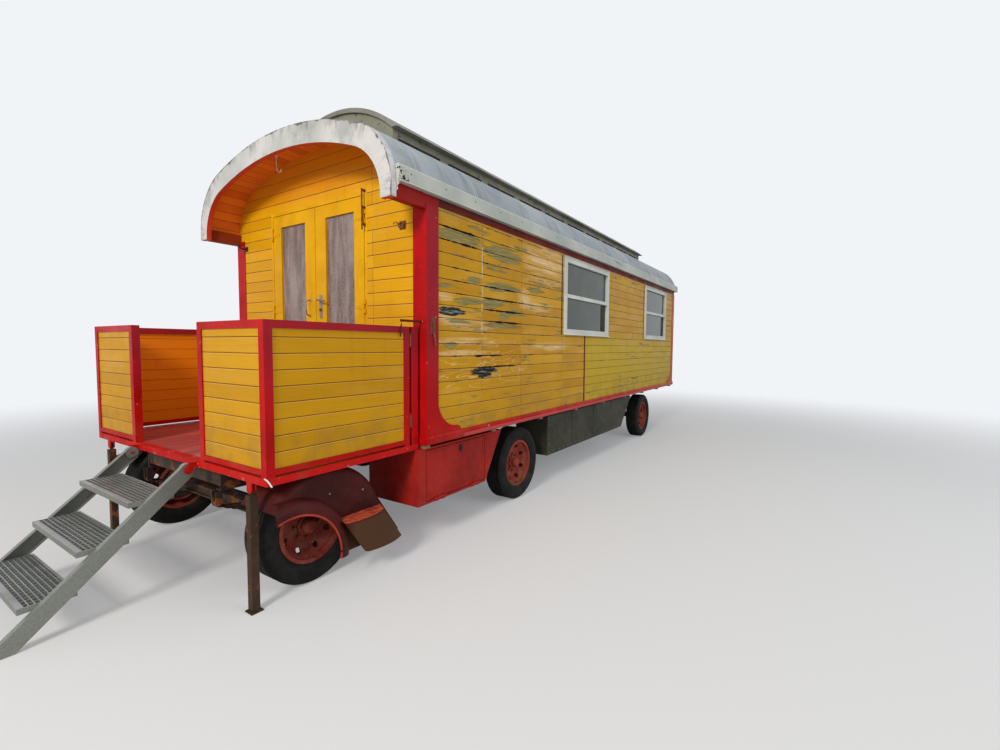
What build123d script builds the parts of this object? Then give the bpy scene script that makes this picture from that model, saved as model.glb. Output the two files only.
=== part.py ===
from build123d import *
import os
from math import atan2, cos, degrees, pi, radians, sin, sqrt

# A circus living wagon: a boarded timber body on a three-axle steel chassis, with a porch,
# folding porch stands, hinged steps, and a raised lantern along the roof.
# Millimetres. +X is forward, the porch end. +Y is the left side. +Z is up, with the ground at 0.
# Places along X are first measured from the face of the body's front end wall, and the
# finished pieces are moved so that the origin lies under the middle of the whole wagon.

# Running gaps
PIN_GAP = 0.05          # radial gap of a pin in its eye
SEAT_GAP = 0.3          # gap between curved pieces that are stacked
MOVE_GAP = 6.0          # gap round a door, flap or turning piece

# Body
BODY_LENGTH = 7060.0
BODY_HALF = 1250.0      # half width over the wall boards
WALL = 60.0             # whole wall: boards, frame and lining
FLOOR_BOTTOM = 772.0
FLOOR_TOP = 837.0
BEARER_DEPTH = 29.0     # cross bearers under the floor slab
BEARER_WIDTH = 60.0
BEARER_COUNT = 9
PLATE_TOP = 2572.0      # top of the wall plate, where the roof starts
PLATE_DEPTH = 66.0
BOARD_PITCH = 97.0
GROOVE_HALF = 4.0
GROOVE_DEPTH = 6.0
POST = 125.0            # corner post, across each face
TRIM_PROUD = 6.0        # posts and brackets stand this far outside the boards
SILL_PROUD = 18.0
BRACKET_TOP = 1055.0    # curved foot bracket of a corner post
BRACKET_REACH = 395.0
BRACKET_LIP = 865.0

# Roof
ROOF_REAR_OVERHANG = 100.0
CANOPY_REACH = 300.0    # roof in front of the end wall, behind the fascia board
FASCIA = 42.0
SKIN = 12.0             # metal and felt on its boards
LINING = 28.0
ROOF_HALF = BODY_HALF + SKIN
ROOF_RISE = 608.0       # from the wall plate to the crown
ROOF_CROWN = PLATE_TOP + ROOF_RISE
ROOF_CROWN_R = 2700.0
ROOF_CORNER_R = 500.0
FASCIA_SIDE = 107.0     # width of the fascia board at its legs and at its crown
FASCIA_CROWN = 158.0
CANOPY_DROP = 102.0     # the canopy's side boards and the fascia hang this far below the roof's edge
GUTTER_RISE = 118.0
GUTTER_PROUD = 28.0
GUTTER_LIP = 6.0
GUTTER_FRONT = CANOPY_REACH - 10.0
PLATE_WIDTH = 62.0

# Lantern, the raised strip of roof with its row of low windows
LANTERN_FRONT = -200.0
LANTERN_LENGTH = BODY_LENGTH - 760.0
LANTERN_HALF = 715.0
LANTERN_WALL = 24.0
LANTERN_ROOF_HALF = LANTERN_HALF + 65.0
LANTERN_LIFT = 45.0     # the lantern's eave above the crown of the roof
LANTERN_RISE = 295.0
LANTERN_EAVE = ROOF_CROWN + LANTERN_LIFT
LANTERN_CROWN = LANTERN_EAVE + LANTERN_RISE
LANTERN_ROOF = 36.0
LANTERN_OVERHANG = 22.0
LANTERN_PANES = 10
LANTERN_PANE = 520.0
LANTERN_PANE_TOP = ROOF_CROWN - 12.0
LANTERN_PANE_BOTTOM = LANTERN_PANE_TOP - 62.0
ROOF_WELL_INSET = 90.0  # edge of the opening in the roof, inside the lantern walls

# Side windows: front edge of each, measured back from the front end wall, and its width
WINDOWS = ((2230.0, 1340.0), (BODY_LENGTH - 1870.0, 1270.0))
WINDOW_TOP = PLATE_TOP - 72.0
WINDOW_SILL = 795.0     # height of a window's foot above the floor
WINDOW_BOTTOM = FLOOR_TOP + WINDOW_SILL
CASING = 30.0           # casing board laid over the wall boards
CASING_PROUD = 12.0
SASH = 34.0
SASH_DEPTH = 44.0
SASH_BAR = 40.0
PANE = 6.0

# Double door in the front end wall
DOOR_CENTRE = -20.0
DOORWAY_HALF = 650.0
DOORWAY_TOP = PLATE_TOP + 128.0
DOOR_CASING = 28.0
DOOR_LEAF = 42.0
DOOR_SILL = 24.0
GLASS_FROM_MEETING = 141.0
GLASS_WIDTH = 358.0
DOOR_PANEL = 463.0      # from the floor to the foot of a leaf's glass
GLASS_TOP = DOORWAY_TOP - 138.0
GLASS_BOTTOM = FLOOR_TOP + DOOR_PANEL
HINGE_R = 9.0
HINGE_PIN_R = 5.0
HINGE_LENGTH = 110.0
HINGE_PLAY = 0.5        # between two knuckles along the pin
LOW_HINGE = FLOOR_TOP + 213.0
HIGH_HINGE = DOORWAY_TOP - 250.0
DOOR_HINGES = (LOW_HINGE, (LOW_HINGE + HIGH_HINGE) / 2, HIGH_HINGE)

# Porch
PORCH_LENGTH = 1185.0
PORCH_HALF = BODY_HALF - 55.0
DECK_BOTTOM = FLOOR_BOTTOM - BEARER_DEPTH
DECK_TOP = DECK_BOTTOM + 42.0
DECK_BOARD = 22.0
DECK_BOARD_PITCH = 118.0
DECK_BOARD_GAP = 4.0
DECK_JOISTS = 3
DECK_FRAME = 50.0
DECK_START = 24.0       # gap between the body's front sill and the deck frame
RAIL_HEIGHT = 847.0
RAIL_TOP = DECK_TOP + RAIL_HEIGHT
RAIL_GAP = 14.0         # air under the bottom rail
RAIL_BOTTOM_MEMBER = 30.0
RAIL_TOP_MEMBER = 44.0
RAIL_POST = 50.0
RAIL_PANEL = 22.0
RAIL_PITCH = 89.0
STEP_HALF = 430.0
RAIL_OPENING_HALF = STEP_HALF + 50.0
RAIL_REAR = 118.0       # rear end of the side rail
HINGE_POST = (30.0, 96.0)
RAIL_LUG = 70.0         # height of the lugs that hold the side rail to its post
RAIL_LUG_FOOT = 60.0

# Chassis
RAIL_Y = 0.4 * BODY_HALF
CHASSIS_RAIL = (60.0, 160.0, 8.0)    # flange width, depth, metal
CHASSIS_FRONT = 1095.0
CHASSIS_REAR = -6960.0
CROSS_MEMBERS = (1060.0, 60.0, -800.0, -2150.0, -3350.0, -4550.0, -6150.0, -6925.0)
CROSS_MEMBER = 60.0

# Axles: place along X and half track to the tyre's middle
FRONT_AXLE = (764.0, BODY_HALF - 350.0)
MID_AXLE = (-1410.0, BODY_HALF - 150.0)
REAR_AXLE = (-5440.0, BODY_HALF - 150.0)
AXLE_BEAM = 80.0
SPINDLE_R = 25.0
SPINDLE_REACH = 20.0    # past the middle of the tyre
BACKPLATE_R = 132.0
BACKPLATE = 6.0
BACKPLATE_AT = 92.0     # inward from the middle of the tyre

# Wheels and tyres
TYRE_R = 350.0
TYRE_HALF = 102.0
TREAD_HALF = 78.0
BEAD_R = 212.0
RIM_FLANGE_R = 226.0
RIM_HALF = 78.0
RIM_METAL = 8.0
HUB_R = 60.0
CAP_R = 42.0
DRUM_R = 150.0
DRUM_METAL = 12.0
HAND_HOLES = 8
HAND_HOLE_R = 19.0
HAND_HOLE_AT = 160.0

# Leaf springs
LEAVES = 7
LEAF = 9.0
LEAF_WIDTH = 60.0
LEAF_STEP = 46.0        # each leaf ends this much sooner than the one above it
SPRING_RADIUS = 1500.0
SPRING_EYE_R = 17.0

# Steering
KINGPIN_Y = FRONT_AXLE[1] - 160.0
KINGPIN_R = 14.0
KING_EYE_R = 33.0
KING_EYE_HALF = 42.0
KNUCKLE_LUG = 20.0
KNUCKLE_GAP = 1.0
KNUCKLE_PLATE = 20.0
STEER_ARM = 160.0
STEER_PIN_R = 10.0
TIE_EYE_R = 21.0
TIE_ROD_R = 12.0
TIE_OPEN_GAP = 2.0      # radial play at the pivot where the linkage is left open

# Front mudguards
GUARD_ARC = (FRONT_AXLE[0] - 18.0, 276.0, 469.0)     # centre X, centre Z and radius of the crown
GUARD_TIP = FRONT_AXLE[0] + 352.0
GUARD_FOOT = (FRONT_AXLE[0] - 649.0, 165.0)
GUARD_LEAVE = FRONT_AXLE[0] - 454.0  # where the crown passes into the straight apron
GUARD_INNER_Y = FRONT_AXLE[1] - 100.0
GUARD_WIDTH = 305.0
GUARD_METAL = 3.0
GUARD_ROUND = 60.0
GUARD_BEND = 200.0      # radius between the crown and the apron
GUARD_OPENING = (FRONT_AXLE[0] + 236.0, 210.0, 310.0)
GUARD_FLARE = (400.0, 330.0, 60.0)   # radius at the wall, radius at the lip, and how far it stands out
GUARD_STAY = (40.0, 14.0)            # width and depth of the flat bars that carry a guard
GUARD_STAYS = (FRONT_AXLE[0] - 120.0, FRONT_AXLE[0] + 32.0)
GUARD_STAY_LAP = 60.0

# The step pressed into a mudguard, round its top: X from the axle and distance from the wall
GUARD_STEP_TOP = 400.0
GUARD_STEP = ((-442.0, 0.0), (-392.0, 98.0), (-219.0, 140.0), (-59.0, 112.0), (-112.0, 0.0))
GUARD_STEP_ROUND = 25.0

# Lockers under the sill
LOCKER_TOP = DECK_BOTTOM - SEAT_GAP
LOCKER_BOTTOM = 320.0
LOCKER_FRONT = 60.0
LOCKER_REAR_TOP = -1030.0
LOCKER_REAR_BOTTOM = -783.0
LOCKER_OUTER_Y = BODY_HALF - 30.0
LOCKER_DEPTH = 520.0
LOCKER_INNER_Y = LOCKER_OUTER_Y - LOCKER_DEPTH
LOCKER_METAL = 5.0
FLAP_FRONT = -30.0
FLAP_REAR = -770.0
FLAP_BOTTOM = 345.0
FLAP_TOP = 722.0
FLAP = 8.0
SIDE_BOX = (-1975.0, -4740.0, -4320.0, 316.0)    # front, rear at the top, rear at the bottom, foot
SIDE_BOX_METAL = 4.0
SIDE_BOX_OUTER_Y = BODY_HALF - 50.0
SIDE_BOX_DEPTH = 400.0
SIDE_BOX_INNER_Y = SIDE_BOX_OUTER_Y - SIDE_BOX_DEPTH

# Porch stands
STAND_X = 1165.0
STAND_Y = BODY_HALF - 240.0
STAND_TUBE = 45.0
STAND_HINGE = 700.0
STAND_FOOT = 70.0
STAND_TONGUE = 12.0
STAND_EAR = 8.0
STAND_PIN_R = 8.0

# Steps
STEP_HINGE = (1237.0, 735.0)
STEP_RISE = 200.0
STEP_GOING = 233.0
STEP_TREADS = 3
STEP_FIRST = (1300.0, 600.0)         # back edge and height of the top tread
STEP_TREAD = 232.0
STEP_TREAD_THICK = 30.0
TREAD_BARS = 17
STRINGER = (84.0, 36.0, 5.0)         # depth, flange, metal
STRINGER_EYE_R = 38.0
STEP_PIN_R = 8.0
STEP_EAR = 8.0

# Coupling jaw on the rear cross member, for the pin of a drawbar that follows
JAW_BORE_R = 16.0
JAW_PLATE = 16.0
JAW_SPACE = 60.0        # clear height between the two plates
JAW_REACH = 130.0       # from the cross member to the pin
JAW_HALF = 45.0

REAR_X = -BODY_LENGTH
ROOF_REAR = REAR_X - ROOF_REAR_OVERHANG
SLOPE = atan2(STEP_RISE, STEP_GOING)


def block(x0, x1, y0, y1, z0, z1):
    """A box between two opposite corners."""
    middle = Pos((x0 + x1) / 2, (y0 + y1) / 2, (z0 + z1) / 2)
    return middle * Box(abs(x1 - x0), abs(y1 - y0), abs(z1 - z0))


def slab_xz(points, y0, y1):
    """A closed outline in X and Z, as a solid from y0 to y1."""
    face = make_face(Polyline([(x, y0, z) for x, z in points], close=True))
    return extrude(face, abs(y1 - y0), dir=(0, 1 if y1 > y0 else -1, 0))


def slab_yz(points, x0, x1):
    """A closed outline in Y and Z, as a solid from x0 to x1."""
    face = make_face(Polyline([(x0, y, z) for y, z in points], close=True))
    return extrude(face, abs(x1 - x0), dir=(1 if x1 > x0 else -1, 0, 0))


def rod(start, end, radius):
    """A round bar between two points."""
    a, b = Vector(*start), Vector(*end)
    plane = Plane(origin=a, z_dir=(b - a).normalized())
    return extrude(plane * Circle(radius), (b - a).length)


def both_sides(piece):
    """A piece and its mirror image across the wagon's middle plane."""
    return [piece, mirror(piece, Plane.XZ)]


def joined(pieces):
    """Several touching or separate pieces as one shape."""
    first, *others = pieces
    for other in others:
        first = first + other
    return first


def arch(half, crown, crown_r, corner_r, foot, x):
    """A flat arch in the plane at x: legs, two corner arcs and a crown arc, all tangent."""
    low = crown - crown_r
    corner_y = half - corner_r
    corner_z = low + sqrt((crown_r - corner_r) ** 2 - corner_y ** 2)
    lean = atan2(corner_y, corner_z - low)
    meet = (crown_r * sin(lean), low + crown_r * cos(lean))
    half_turn = (pi / 2 - lean) / 2
    mid = (corner_y + corner_r * cos(half_turn), corner_z + corner_r * sin(half_turn))
    edges = [
        Line((x, -half, foot), (x, -half, corner_z)),
        ThreePointArc((x, -half, corner_z), (x, -mid[0], mid[1]), (x, -meet[0], meet[1])),
        ThreePointArc((x, -meet[0], meet[1]), (x, 0, crown), (x, meet[0], meet[1])),
        ThreePointArc((x, meet[0], meet[1]), (x, mid[0], mid[1]), (x, half, corner_z)),
        Line((x, half, corner_z), (x, half, foot)),
        Line((x, half, foot), (x, -half, foot)),
    ]
    return make_face(edges)


def roof_arch(inset, foot, x0, x1):
    """The roof's outer form moved inwards by inset, as a solid from x0 to x1."""
    face = arch(ROOF_HALF - inset, ROOF_CROWN - inset, ROOF_CROWN_R - inset,
                ROOF_CORNER_R - inset, foot, x0)
    return extrude(face, x1 - x0, dir=(1, 0, 0))


def board_edge(low, high, pitch):
    """Heights and depths along a grooved board face, from low to high."""
    points = [(0.0, low)]
    joint = low + pitch
    while joint < high - pitch / 3:
        points += [(0.0, joint - GROOVE_HALF), (-GROOVE_DEPTH, joint), (0.0, joint + GROOVE_HALF)]
        joint += pitch
    return points + [(0.0, high)]


def side_boards(x0, x1, face_y, thick, low, high, pitch, both_faces=False):
    """Boarding that faces +Y, grooved along X, on both faces where asked."""
    edge = board_edge(low, high, pitch)
    outline = [(face_y + depth, z) for depth, z in edge]
    back = [(face_y - thick, low), (face_y - thick, high)]
    if both_faces:
        back = [(face_y - thick - depth, z) for depth, z in edge]
    return slab_yz(outline + back[::-1], x0, x1)


def end_boards(y0, y1, face_x, thick, low, high, pitch, both_faces=False):
    """Boarding that faces +X, grooved along Y, on both faces where asked."""
    edge = board_edge(low, high, pitch)
    outline = [(face_x + depth, z) for depth, z in edge]
    back = [(face_x - thick, low), (face_x - thick, high)]
    if both_faces:
        back = [(face_x - thick - depth, z) for depth, z in edge]
    return slab_xz(outline + back[::-1], y0, y1)


def chassis_rails():
    """Two channel rails with their open sides inwards."""
    width, depth, metal = CHASSIS_RAIL
    outer = RAIL_Y + width / 2
    inner = RAIL_Y - width / 2
    top = DECK_BOTTOM
    low = top - depth
    channel = [(outer, low), (outer, top), (inner, top), (inner, top - metal),
               (outer - metal, top - metal), (outer - metal, low + metal), (inner, low + metal),
               (inner, low)]
    rail = slab_yz(channel, CHASSIS_REAR, CHASSIS_FRONT)
    return both_sides(rail)


def cross_members():
    """The members between the webs of the two rails."""
    width, depth, metal = CHASSIS_RAIL
    half = RAIL_Y + width / 2 - metal
    low = DECK_BOTTOM - depth
    return [block(x - CROSS_MEMBER / 2, x + CROSS_MEMBER / 2, -half, half, low + 30,
                  DECK_BOTTOM - 30) for x in CROSS_MEMBERS]


def rear_coupling():
    """A jaw of two level plates behind the rear cross member, bored for an upright pin."""
    face = CROSS_MEMBERS[-1] - CROSS_MEMBER / 2
    middle = DECK_BOTTOM - CHASSIS_RAIL[1] / 2
    pin_x = face - JAW_REACH
    back = block(face - 12, face, -2 * JAW_HALF, 2 * JAW_HALF, middle - 50, middle + 50)
    pieces = [back]
    for side in (-1, 1):
        z0 = middle + side * JAW_SPACE / 2
        z1 = z0 + side * JAW_PLATE
        pieces.append(block(pin_x, face - 12, -JAW_HALF, JAW_HALF, z0, z1))
        pieces.append(rod((pin_x, 0, z0), (pin_x, 0, z1), JAW_HALF))
        pieces.append(block(face - 60, face - 12, -6, 6, z1, middle + side * 50))
    reach = JAW_SPACE / 2 + JAW_PLATE + 1
    return joined(pieces) - rod((pin_x, 0, middle - reach), (pin_x, 0, middle + reach),
                                JAW_BORE_R)


def leaf_spring(x, y, beam_top):
    """A bundle of curved leaves, thickest at the axle, with rolled eyes and hangers."""
    stack = LEAVES * LEAF
    centre_z = beam_top + stack + SPRING_RADIUS
    rail_low = DECK_BOTTOM - CHASSIS_RAIL[1]
    reach = LEAF_STEP * (LEAVES + 0.5)
    pieces = []
    for number in range(LEAVES):
        inner = SPRING_RADIUS + number * LEAF
        outer = inner + LEAF
        half = (reach - number * LEAF_STEP) / SPRING_RADIUS
        left, right = -pi / 2 - half, -pi / 2 + half

        def at(radius, angle):
            return (x + radius * cos(angle), y - LEAF_WIDTH / 2, centre_z + radius * sin(angle))
        edges = [
            ThreePointArc(at(inner, left), at(inner, -pi / 2), at(inner, right)),
            Line(at(inner, right), at(outer, right)),
            ThreePointArc(at(outer, right), at(outer, -pi / 2), at(outer, left)),
            Line(at(outer, left), at(inner, left)),
        ]
        pieces.append(extrude(make_face(edges), LEAF_WIDTH, dir=(0, 1, 0)))
    for side in (-1, 1):
        angle = -pi / 2 + side * reach / SPRING_RADIUS
        eye_x = x + SPRING_RADIUS * cos(angle)
        eye_z = centre_z + SPRING_RADIUS * sin(angle) + SPRING_EYE_R - LEAF
        pieces.append(rod((eye_x, y - LEAF_WIDTH / 2, eye_z), (eye_x, y + LEAF_WIDTH / 2, eye_z),
                          SPRING_EYE_R))
        for cheek in (-1, 1):
            y0 = y + cheek * LEAF_WIDTH / 2
            pieces.append(block(eye_x - 20, eye_x + 20, y0 - cheek * 8, y0, eye_z, rail_low))
        pieces.append(rod((eye_x, y - LEAF_WIDTH / 2 - 8, eye_z),
                          (eye_x, y + LEAF_WIDTH / 2 + 8, eye_z), 8))
    clamp = block(x - 45, x + 45, y - LEAF_WIDTH / 2 - 6, y + LEAF_WIDTH / 2 + 6,
                  beam_top + stack, beam_top + stack + 10)
    return joined(pieces + [clamp])


def carrier_axle(x, half_track):
    """A fixed axle: square beam, brake backplates and the spindles that the hubs turn on."""
    z = TYRE_R
    inner = half_track - BACKPLATE_AT
    beam = block(x - AXLE_BEAM / 2, x + AXLE_BEAM / 2, -inner, inner,
                 z - AXLE_BEAM / 2, z + AXLE_BEAM / 2)
    pieces = [beam]
    for side in (-1, 1):
        pieces.append(rod((x, side * inner, z), (x, side * (inner + BACKPLATE), z), BACKPLATE_R))
        pieces.append(rod((x, side * inner, z), (x, side * (half_track + SPINDLE_REACH), z),
                          SPINDLE_R))
    return joined(pieces)


def front_axle():
    """A forged beam that ends in two upright eyes with their kingpins."""
    x, z = FRONT_AXLE[0], TYRE_R
    web = block(x - 12, x + 12, -KINGPIN_Y, KINGPIN_Y, z - 36, z + 36)
    flanges = [block(x - 36, x + 36, -KINGPIN_Y + 70, KINGPIN_Y - 70, z + s, z + s + 12)
               for s in (-40, 28)]
    beam = joined([web] + flanges)
    pin_half = KING_EYE_HALF + KNUCKLE_GAP + KNUCKLE_LUG + 6
    for side in (-1, 1):
        y = side * KINGPIN_Y
        beam = beam + rod((x, y, z - KING_EYE_HALF), (x, y, z + KING_EYE_HALF), KING_EYE_R)
        beam = beam + rod((x, y, z - pin_half), (x, y, z + pin_half), KINGPIN_R)
    return beam


def knuckle():
    """The left steering knuckle: a fork on the kingpin, the spindle and the steering arm."""
    x, z = FRONT_AXLE[0], TYRE_R
    track = FRONT_AXLE[1]
    plate_y = KINGPIN_Y + KING_EYE_R + 8
    lug_z = KING_EYE_HALF + KNUCKLE_GAP
    tall = lug_z + KNUCKLE_LUG
    fork = block(x - 34, x + 34, plate_y, plate_y + KNUCKLE_PLATE, z - tall, z + tall)
    for side in (-1, 1):
        z0, z1 = z + side * lug_z, z + side * tall
        fork = fork + rod((x, KINGPIN_Y, z0), (x, KINGPIN_Y, z1), 30)
        fork = fork + block(x - 30, x + 30, KINGPIN_Y, plate_y + 2, z0, z1)
    arm = block(x - STEER_ARM, x, KINGPIN_Y - 16, KINGPIN_Y + 16, z - tall, z - lug_z)
    end = rod((x - STEER_ARM, KINGPIN_Y, z - tall), (x - STEER_ARM, KINGPIN_Y, z - lug_z), 22)
    fork = fork + arm + end
    fork = fork - rod((x, KINGPIN_Y, z - tall - 1), (x, KINGPIN_Y, z + tall + 1),
                      KINGPIN_R + PIN_GAP)
    backplate_y = track - BACKPLATE_AT
    spindle = rod((x, plate_y + KNUCKLE_PLATE / 2, z), (x, track + SPINDLE_REACH, z), SPINDLE_R)
    plate = rod((x, backplate_y, z), (x, backplate_y + BACKPLATE, z), BACKPLATE_R)
    pin = rod((x - STEER_ARM, KINGPIN_Y, z - lug_z - 1), (x - STEER_ARM, KINGPIN_Y, z + 4),
              STEER_PIN_R)
    return fork + spindle + plate + pin


def tie_rod():
    """The bar between the two steering arms, with an eye at each end."""
    x, z = FRONT_AXLE[0] - STEER_ARM, TYRE_R
    low = z - KING_EYE_HALF - KNUCKLE_GAP + 1
    high = z - 4
    middle = (low + high) / 2
    pieces = [rod((x, -KINGPIN_Y, middle), (x, KINGPIN_Y, middle), TIE_ROD_R)]
    for side in (-1, 1):
        pieces.append(rod((x, side * KINGPIN_Y, low), (x, side * KINGPIN_Y, high), TIE_EYE_R))
    bar = joined(pieces)
    for side, gap in ((1, PIN_GAP), (-1, TIE_OPEN_GAP)):
        bar = bar - rod((x, side * KINGPIN_Y, low - 1), (x, side * KINGPIN_Y, high + 1),
                        STEER_PIN_R + gap)
    return bar


def turned(points, x, y, z, side):
    """A closed outline of radius and outward offset, revolved about the wheel's axis."""
    face = make_face(Polyline([(x + r, y + side * out, z) for r, out in points], close=True))
    return revolve(face, Axis((x, y, z), (0, 1, 0)), 360)


def wheel(x, y):
    """A dished disc wheel with its rim, brake drum, hub and cap, bored for the spindle."""
    side = 1 if y > 0 else -1
    z = TYRE_R
    barrel = BEAD_R - 0.2
    inner = barrel - RIM_METAL
    rim = [(inner, -RIM_HALF), (RIM_FLANGE_R, -RIM_HALF), (RIM_FLANGE_R, -RIM_HALF + RIM_METAL),
           (barrel, -RIM_HALF + RIM_METAL + 4), (barrel, RIM_HALF - RIM_METAL - 4),
           (RIM_FLANGE_R, RIM_HALF - RIM_METAL), (RIM_FLANGE_R, RIM_HALF), (inner, RIM_HALF)]
    disc = [(inner + 2, 46), (186, 41), (152, 6), (104, -2), (HUB_R - 4, -2), (HUB_R - 4, -12),
            (106, -12), (157, -5), (190, 31), (inner + 2, 35)]
    hub = [(0, -84), (HUB_R, -84), (HUB_R, 16), (CAP_R, 20), (CAP_R, 52), (CAP_R - 12, 64),
           (0, 66)]
    drum = [(HUB_R - 4, -20), (DRUM_R, -20), (DRUM_R, -98), (DRUM_R - DRUM_METAL, -98),
            (DRUM_R - DRUM_METAL, -30), (HUB_R - 4, -30)]
    body = joined([turned(part, x, y, z, side) for part in (rim, disc, hub, drum)])
    body = body - rod((x, y - side * 85, z), (x, y + side * (SPINDLE_REACH + 4), z),
                      SPINDLE_R + PIN_GAP)
    for number in range(HAND_HOLES):
        angle = 2 * pi * (number + 0.5) / HAND_HOLES
        hx, hz = x + HAND_HOLE_AT * cos(angle), z + HAND_HOLE_AT * sin(angle)
        body = body - rod((hx, y - side * 14, hz), (hx, y + side * 60, hz), HAND_HOLE_R)
    return body


def tyre(x, y):
    """A road tyre: bead, bulged side walls, shoulders and a flat tread band."""
    z = TYRE_R
    side_r = (BEAD_R + TYRE_R) / 2
    shoulder = TYRE_R - 16
    flange = RIM_FLANGE_R + 1
    half = [(BEAD_R, -RIM_HALF + RIM_METAL + 4.5), (flange, -RIM_HALF + RIM_METAL + 0.4),
            (flange, -RIM_HALF - 1), (side_r, -TYRE_HALF), (shoulder, -TREAD_HALF - 12),
            (TYRE_R, -TREAD_HALF)]
    outline = half + [(r, -out) for r, out in reversed(half)]
    return turned(outline, x, y, z, 1)


def guard_crown(grow, x):
    """Height of the mudguard's crown at x, with its radius enlarged by grow."""
    cx, cz, radius = GUARD_ARC
    return cz + sqrt((radius + grow) ** 2 - (x - cx) ** 2)


def guard_form(grow, foot_z, tip, y0, y1):
    """The mudguard's side view, enlarged by grow, as a solid from y0 to y1, and its bend's place."""
    cx = GUARD_ARC[0]
    leave = (GUARD_LEAVE - grow, y0, guard_crown(grow, GUARD_LEAVE - grow))
    foot = (GUARD_FOOT[0] - 1.1 * grow, y0, foot_z)
    front = (tip, y0, guard_crown(grow, tip))
    edges = [ThreePointArc(front, (cx, y0, guard_crown(grow, cx)), leave), Line(leave, foot),
             Line(foot, (tip, y0, foot_z)), Line((tip, y0, foot_z), front)]
    return extrude(make_face(edges), y1 - y0, dir=(0, 1, 0)), leave


def guard_pressing(grow, foot_z, tip, y0, y1):
    """The guard's form with its bend eased and the rim towards its outer wall rounded."""
    solid, leave = guard_form(grow, foot_z, tip, y0, y1)
    bend = [e for e in solid.edges() if abs(e.center().X - leave[0]) < 0.01
            and abs(e.center().Z - leave[2]) < 0.01]
    solid = fillet(bend, GUARD_BEND - grow)
    rim = [e for e in solid.edges() if abs(e.center().Y - y1) < 0.01
           and (e.geom_type == GeomType.CIRCLE or e.center().X < GUARD_LEAVE)]
    return fillet(rim, GUARD_ROUND + grow)


def guard_flare(grow, foot_z, tip):
    """The rounded flare round the wheel opening, enlarged by grow and kept under the crown."""
    ox, oz, _ = GUARD_OPENING
    wall_r, lip_r, proud = GUARD_FLARE
    back, wall, lip = GUARD_WIDTH - GUARD_ROUND, GUARD_WIDTH, GUARD_WIDTH + proud + grow
    bulge = (lip_r + 0.72 * (wall_r - lip_r) + grow, wall + 0.7 * proud)
    edges = [
        Line((ox, back, oz), (ox + wall_r + grow, back, oz)),
        Line((ox + wall_r + grow, back, oz), (ox + wall_r + grow, wall, oz)),
        ThreePointArc((ox + wall_r + grow, wall, oz), (ox + bulge[0], bulge[1], oz),
                      (ox + lip_r, lip, oz)),
        Line((ox + lip_r, lip, oz), (ox, lip, oz)),
        Line((ox, lip, oz), (ox, back, oz)),
    ]
    dish = revolve(make_face(edges), Axis((ox, 0, oz), (0, 1, 0)), 360)
    under_crown = guard_form(grow, foot_z, tip, back - 5, lip + 5)[0]
    return dish & under_crown


def guard_step(grow, foot_z):
    """The pressed step, enlarged by grow: its flat top carried down along the apron's slope."""
    points = [(FRONT_AXLE[0] + x, GUARD_WIDTH + out, GUARD_STEP_TOP) for x, out in GUARD_STEP]
    rear, rear_out, middle, front_out, front = points
    rear_in = (rear[0], GUARD_WIDTH - 10, GUARD_STEP_TOP)
    front_in = (front[0], GUARD_WIDTH - 10, GUARD_STEP_TOP)
    outline = make_face([Line(rear_in, rear), Line(rear, rear_out),
                         ThreePointArc(rear_out, middle, front_out), Line(front_out, front),
                         Line(front, front_in), Line(front_in, rear_in)])
    corners = [v for v in outline.vertices() if v.Y > GUARD_WIDTH + 50]
    outline = fillet(corners, GUARD_STEP_ROUND)
    if grow:
        outline = offset(outline, grow)
    drop = GUARD_STEP_TOP - foot_z
    slope = (GUARD_LEAVE - GUARD_FOOT[0]) / (guard_crown(0, GUARD_LEAVE) - GUARD_FOOT[1])
    slant = Vector(-slope * drop, 0, -drop)
    form = extrude(outline, slant.length, dir=slant.normalized())
    above = block(GUARD_FOOT[0], GUARD_TIP, 0, 2 * GUARD_WIDTH, GUARD_STEP_TOP + grow,
                  GUARD_STEP_TOP + 10)
    return form - above


def mudguard():
    """The left front mudguard: a crowned shell with a flared wheel opening and a pressed step."""
    foot_z = GUARD_FOOT[1]
    open_low = foot_z - 40
    outer = (guard_pressing(0, foot_z, GUARD_TIP, 0, GUARD_WIDTH)
             + guard_flare(0, foot_z, GUARD_TIP) + guard_step(0, foot_z))
    inner = (guard_pressing(-GUARD_METAL, open_low, GUARD_TIP + 1, -1, GUARD_WIDTH - GUARD_METAL)
             + guard_flare(-GUARD_METAL, open_low, GUARD_TIP + 1)
             + guard_step(-GUARD_METAL, open_low))
    ox, oz, opening = GUARD_OPENING
    wheel_opening = rod((ox, GUARD_WIDTH - GUARD_ROUND, oz),
                        (ox, GUARD_WIDTH + GUARD_FLARE[2] + 5, oz), opening)
    shell = Pos(0, GUARD_INNER_Y, 0) * (outer - inner - wheel_opening)
    rail_outer = RAIL_Y + CHASSIS_RAIL[0] / 2
    width, depth = GUARD_STAY
    for x in GUARD_STAYS:
        height = guard_crown(-GUARD_METAL, x if x < GUARD_ARC[0] else x + width)
        stay = block(x, x + width, rail_outer, GUARD_INNER_Y + GUARD_STAY_LAP,
                     height - depth, height + GUARD_METAL / 3)
        shell = shell + stay
    return shell


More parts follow.
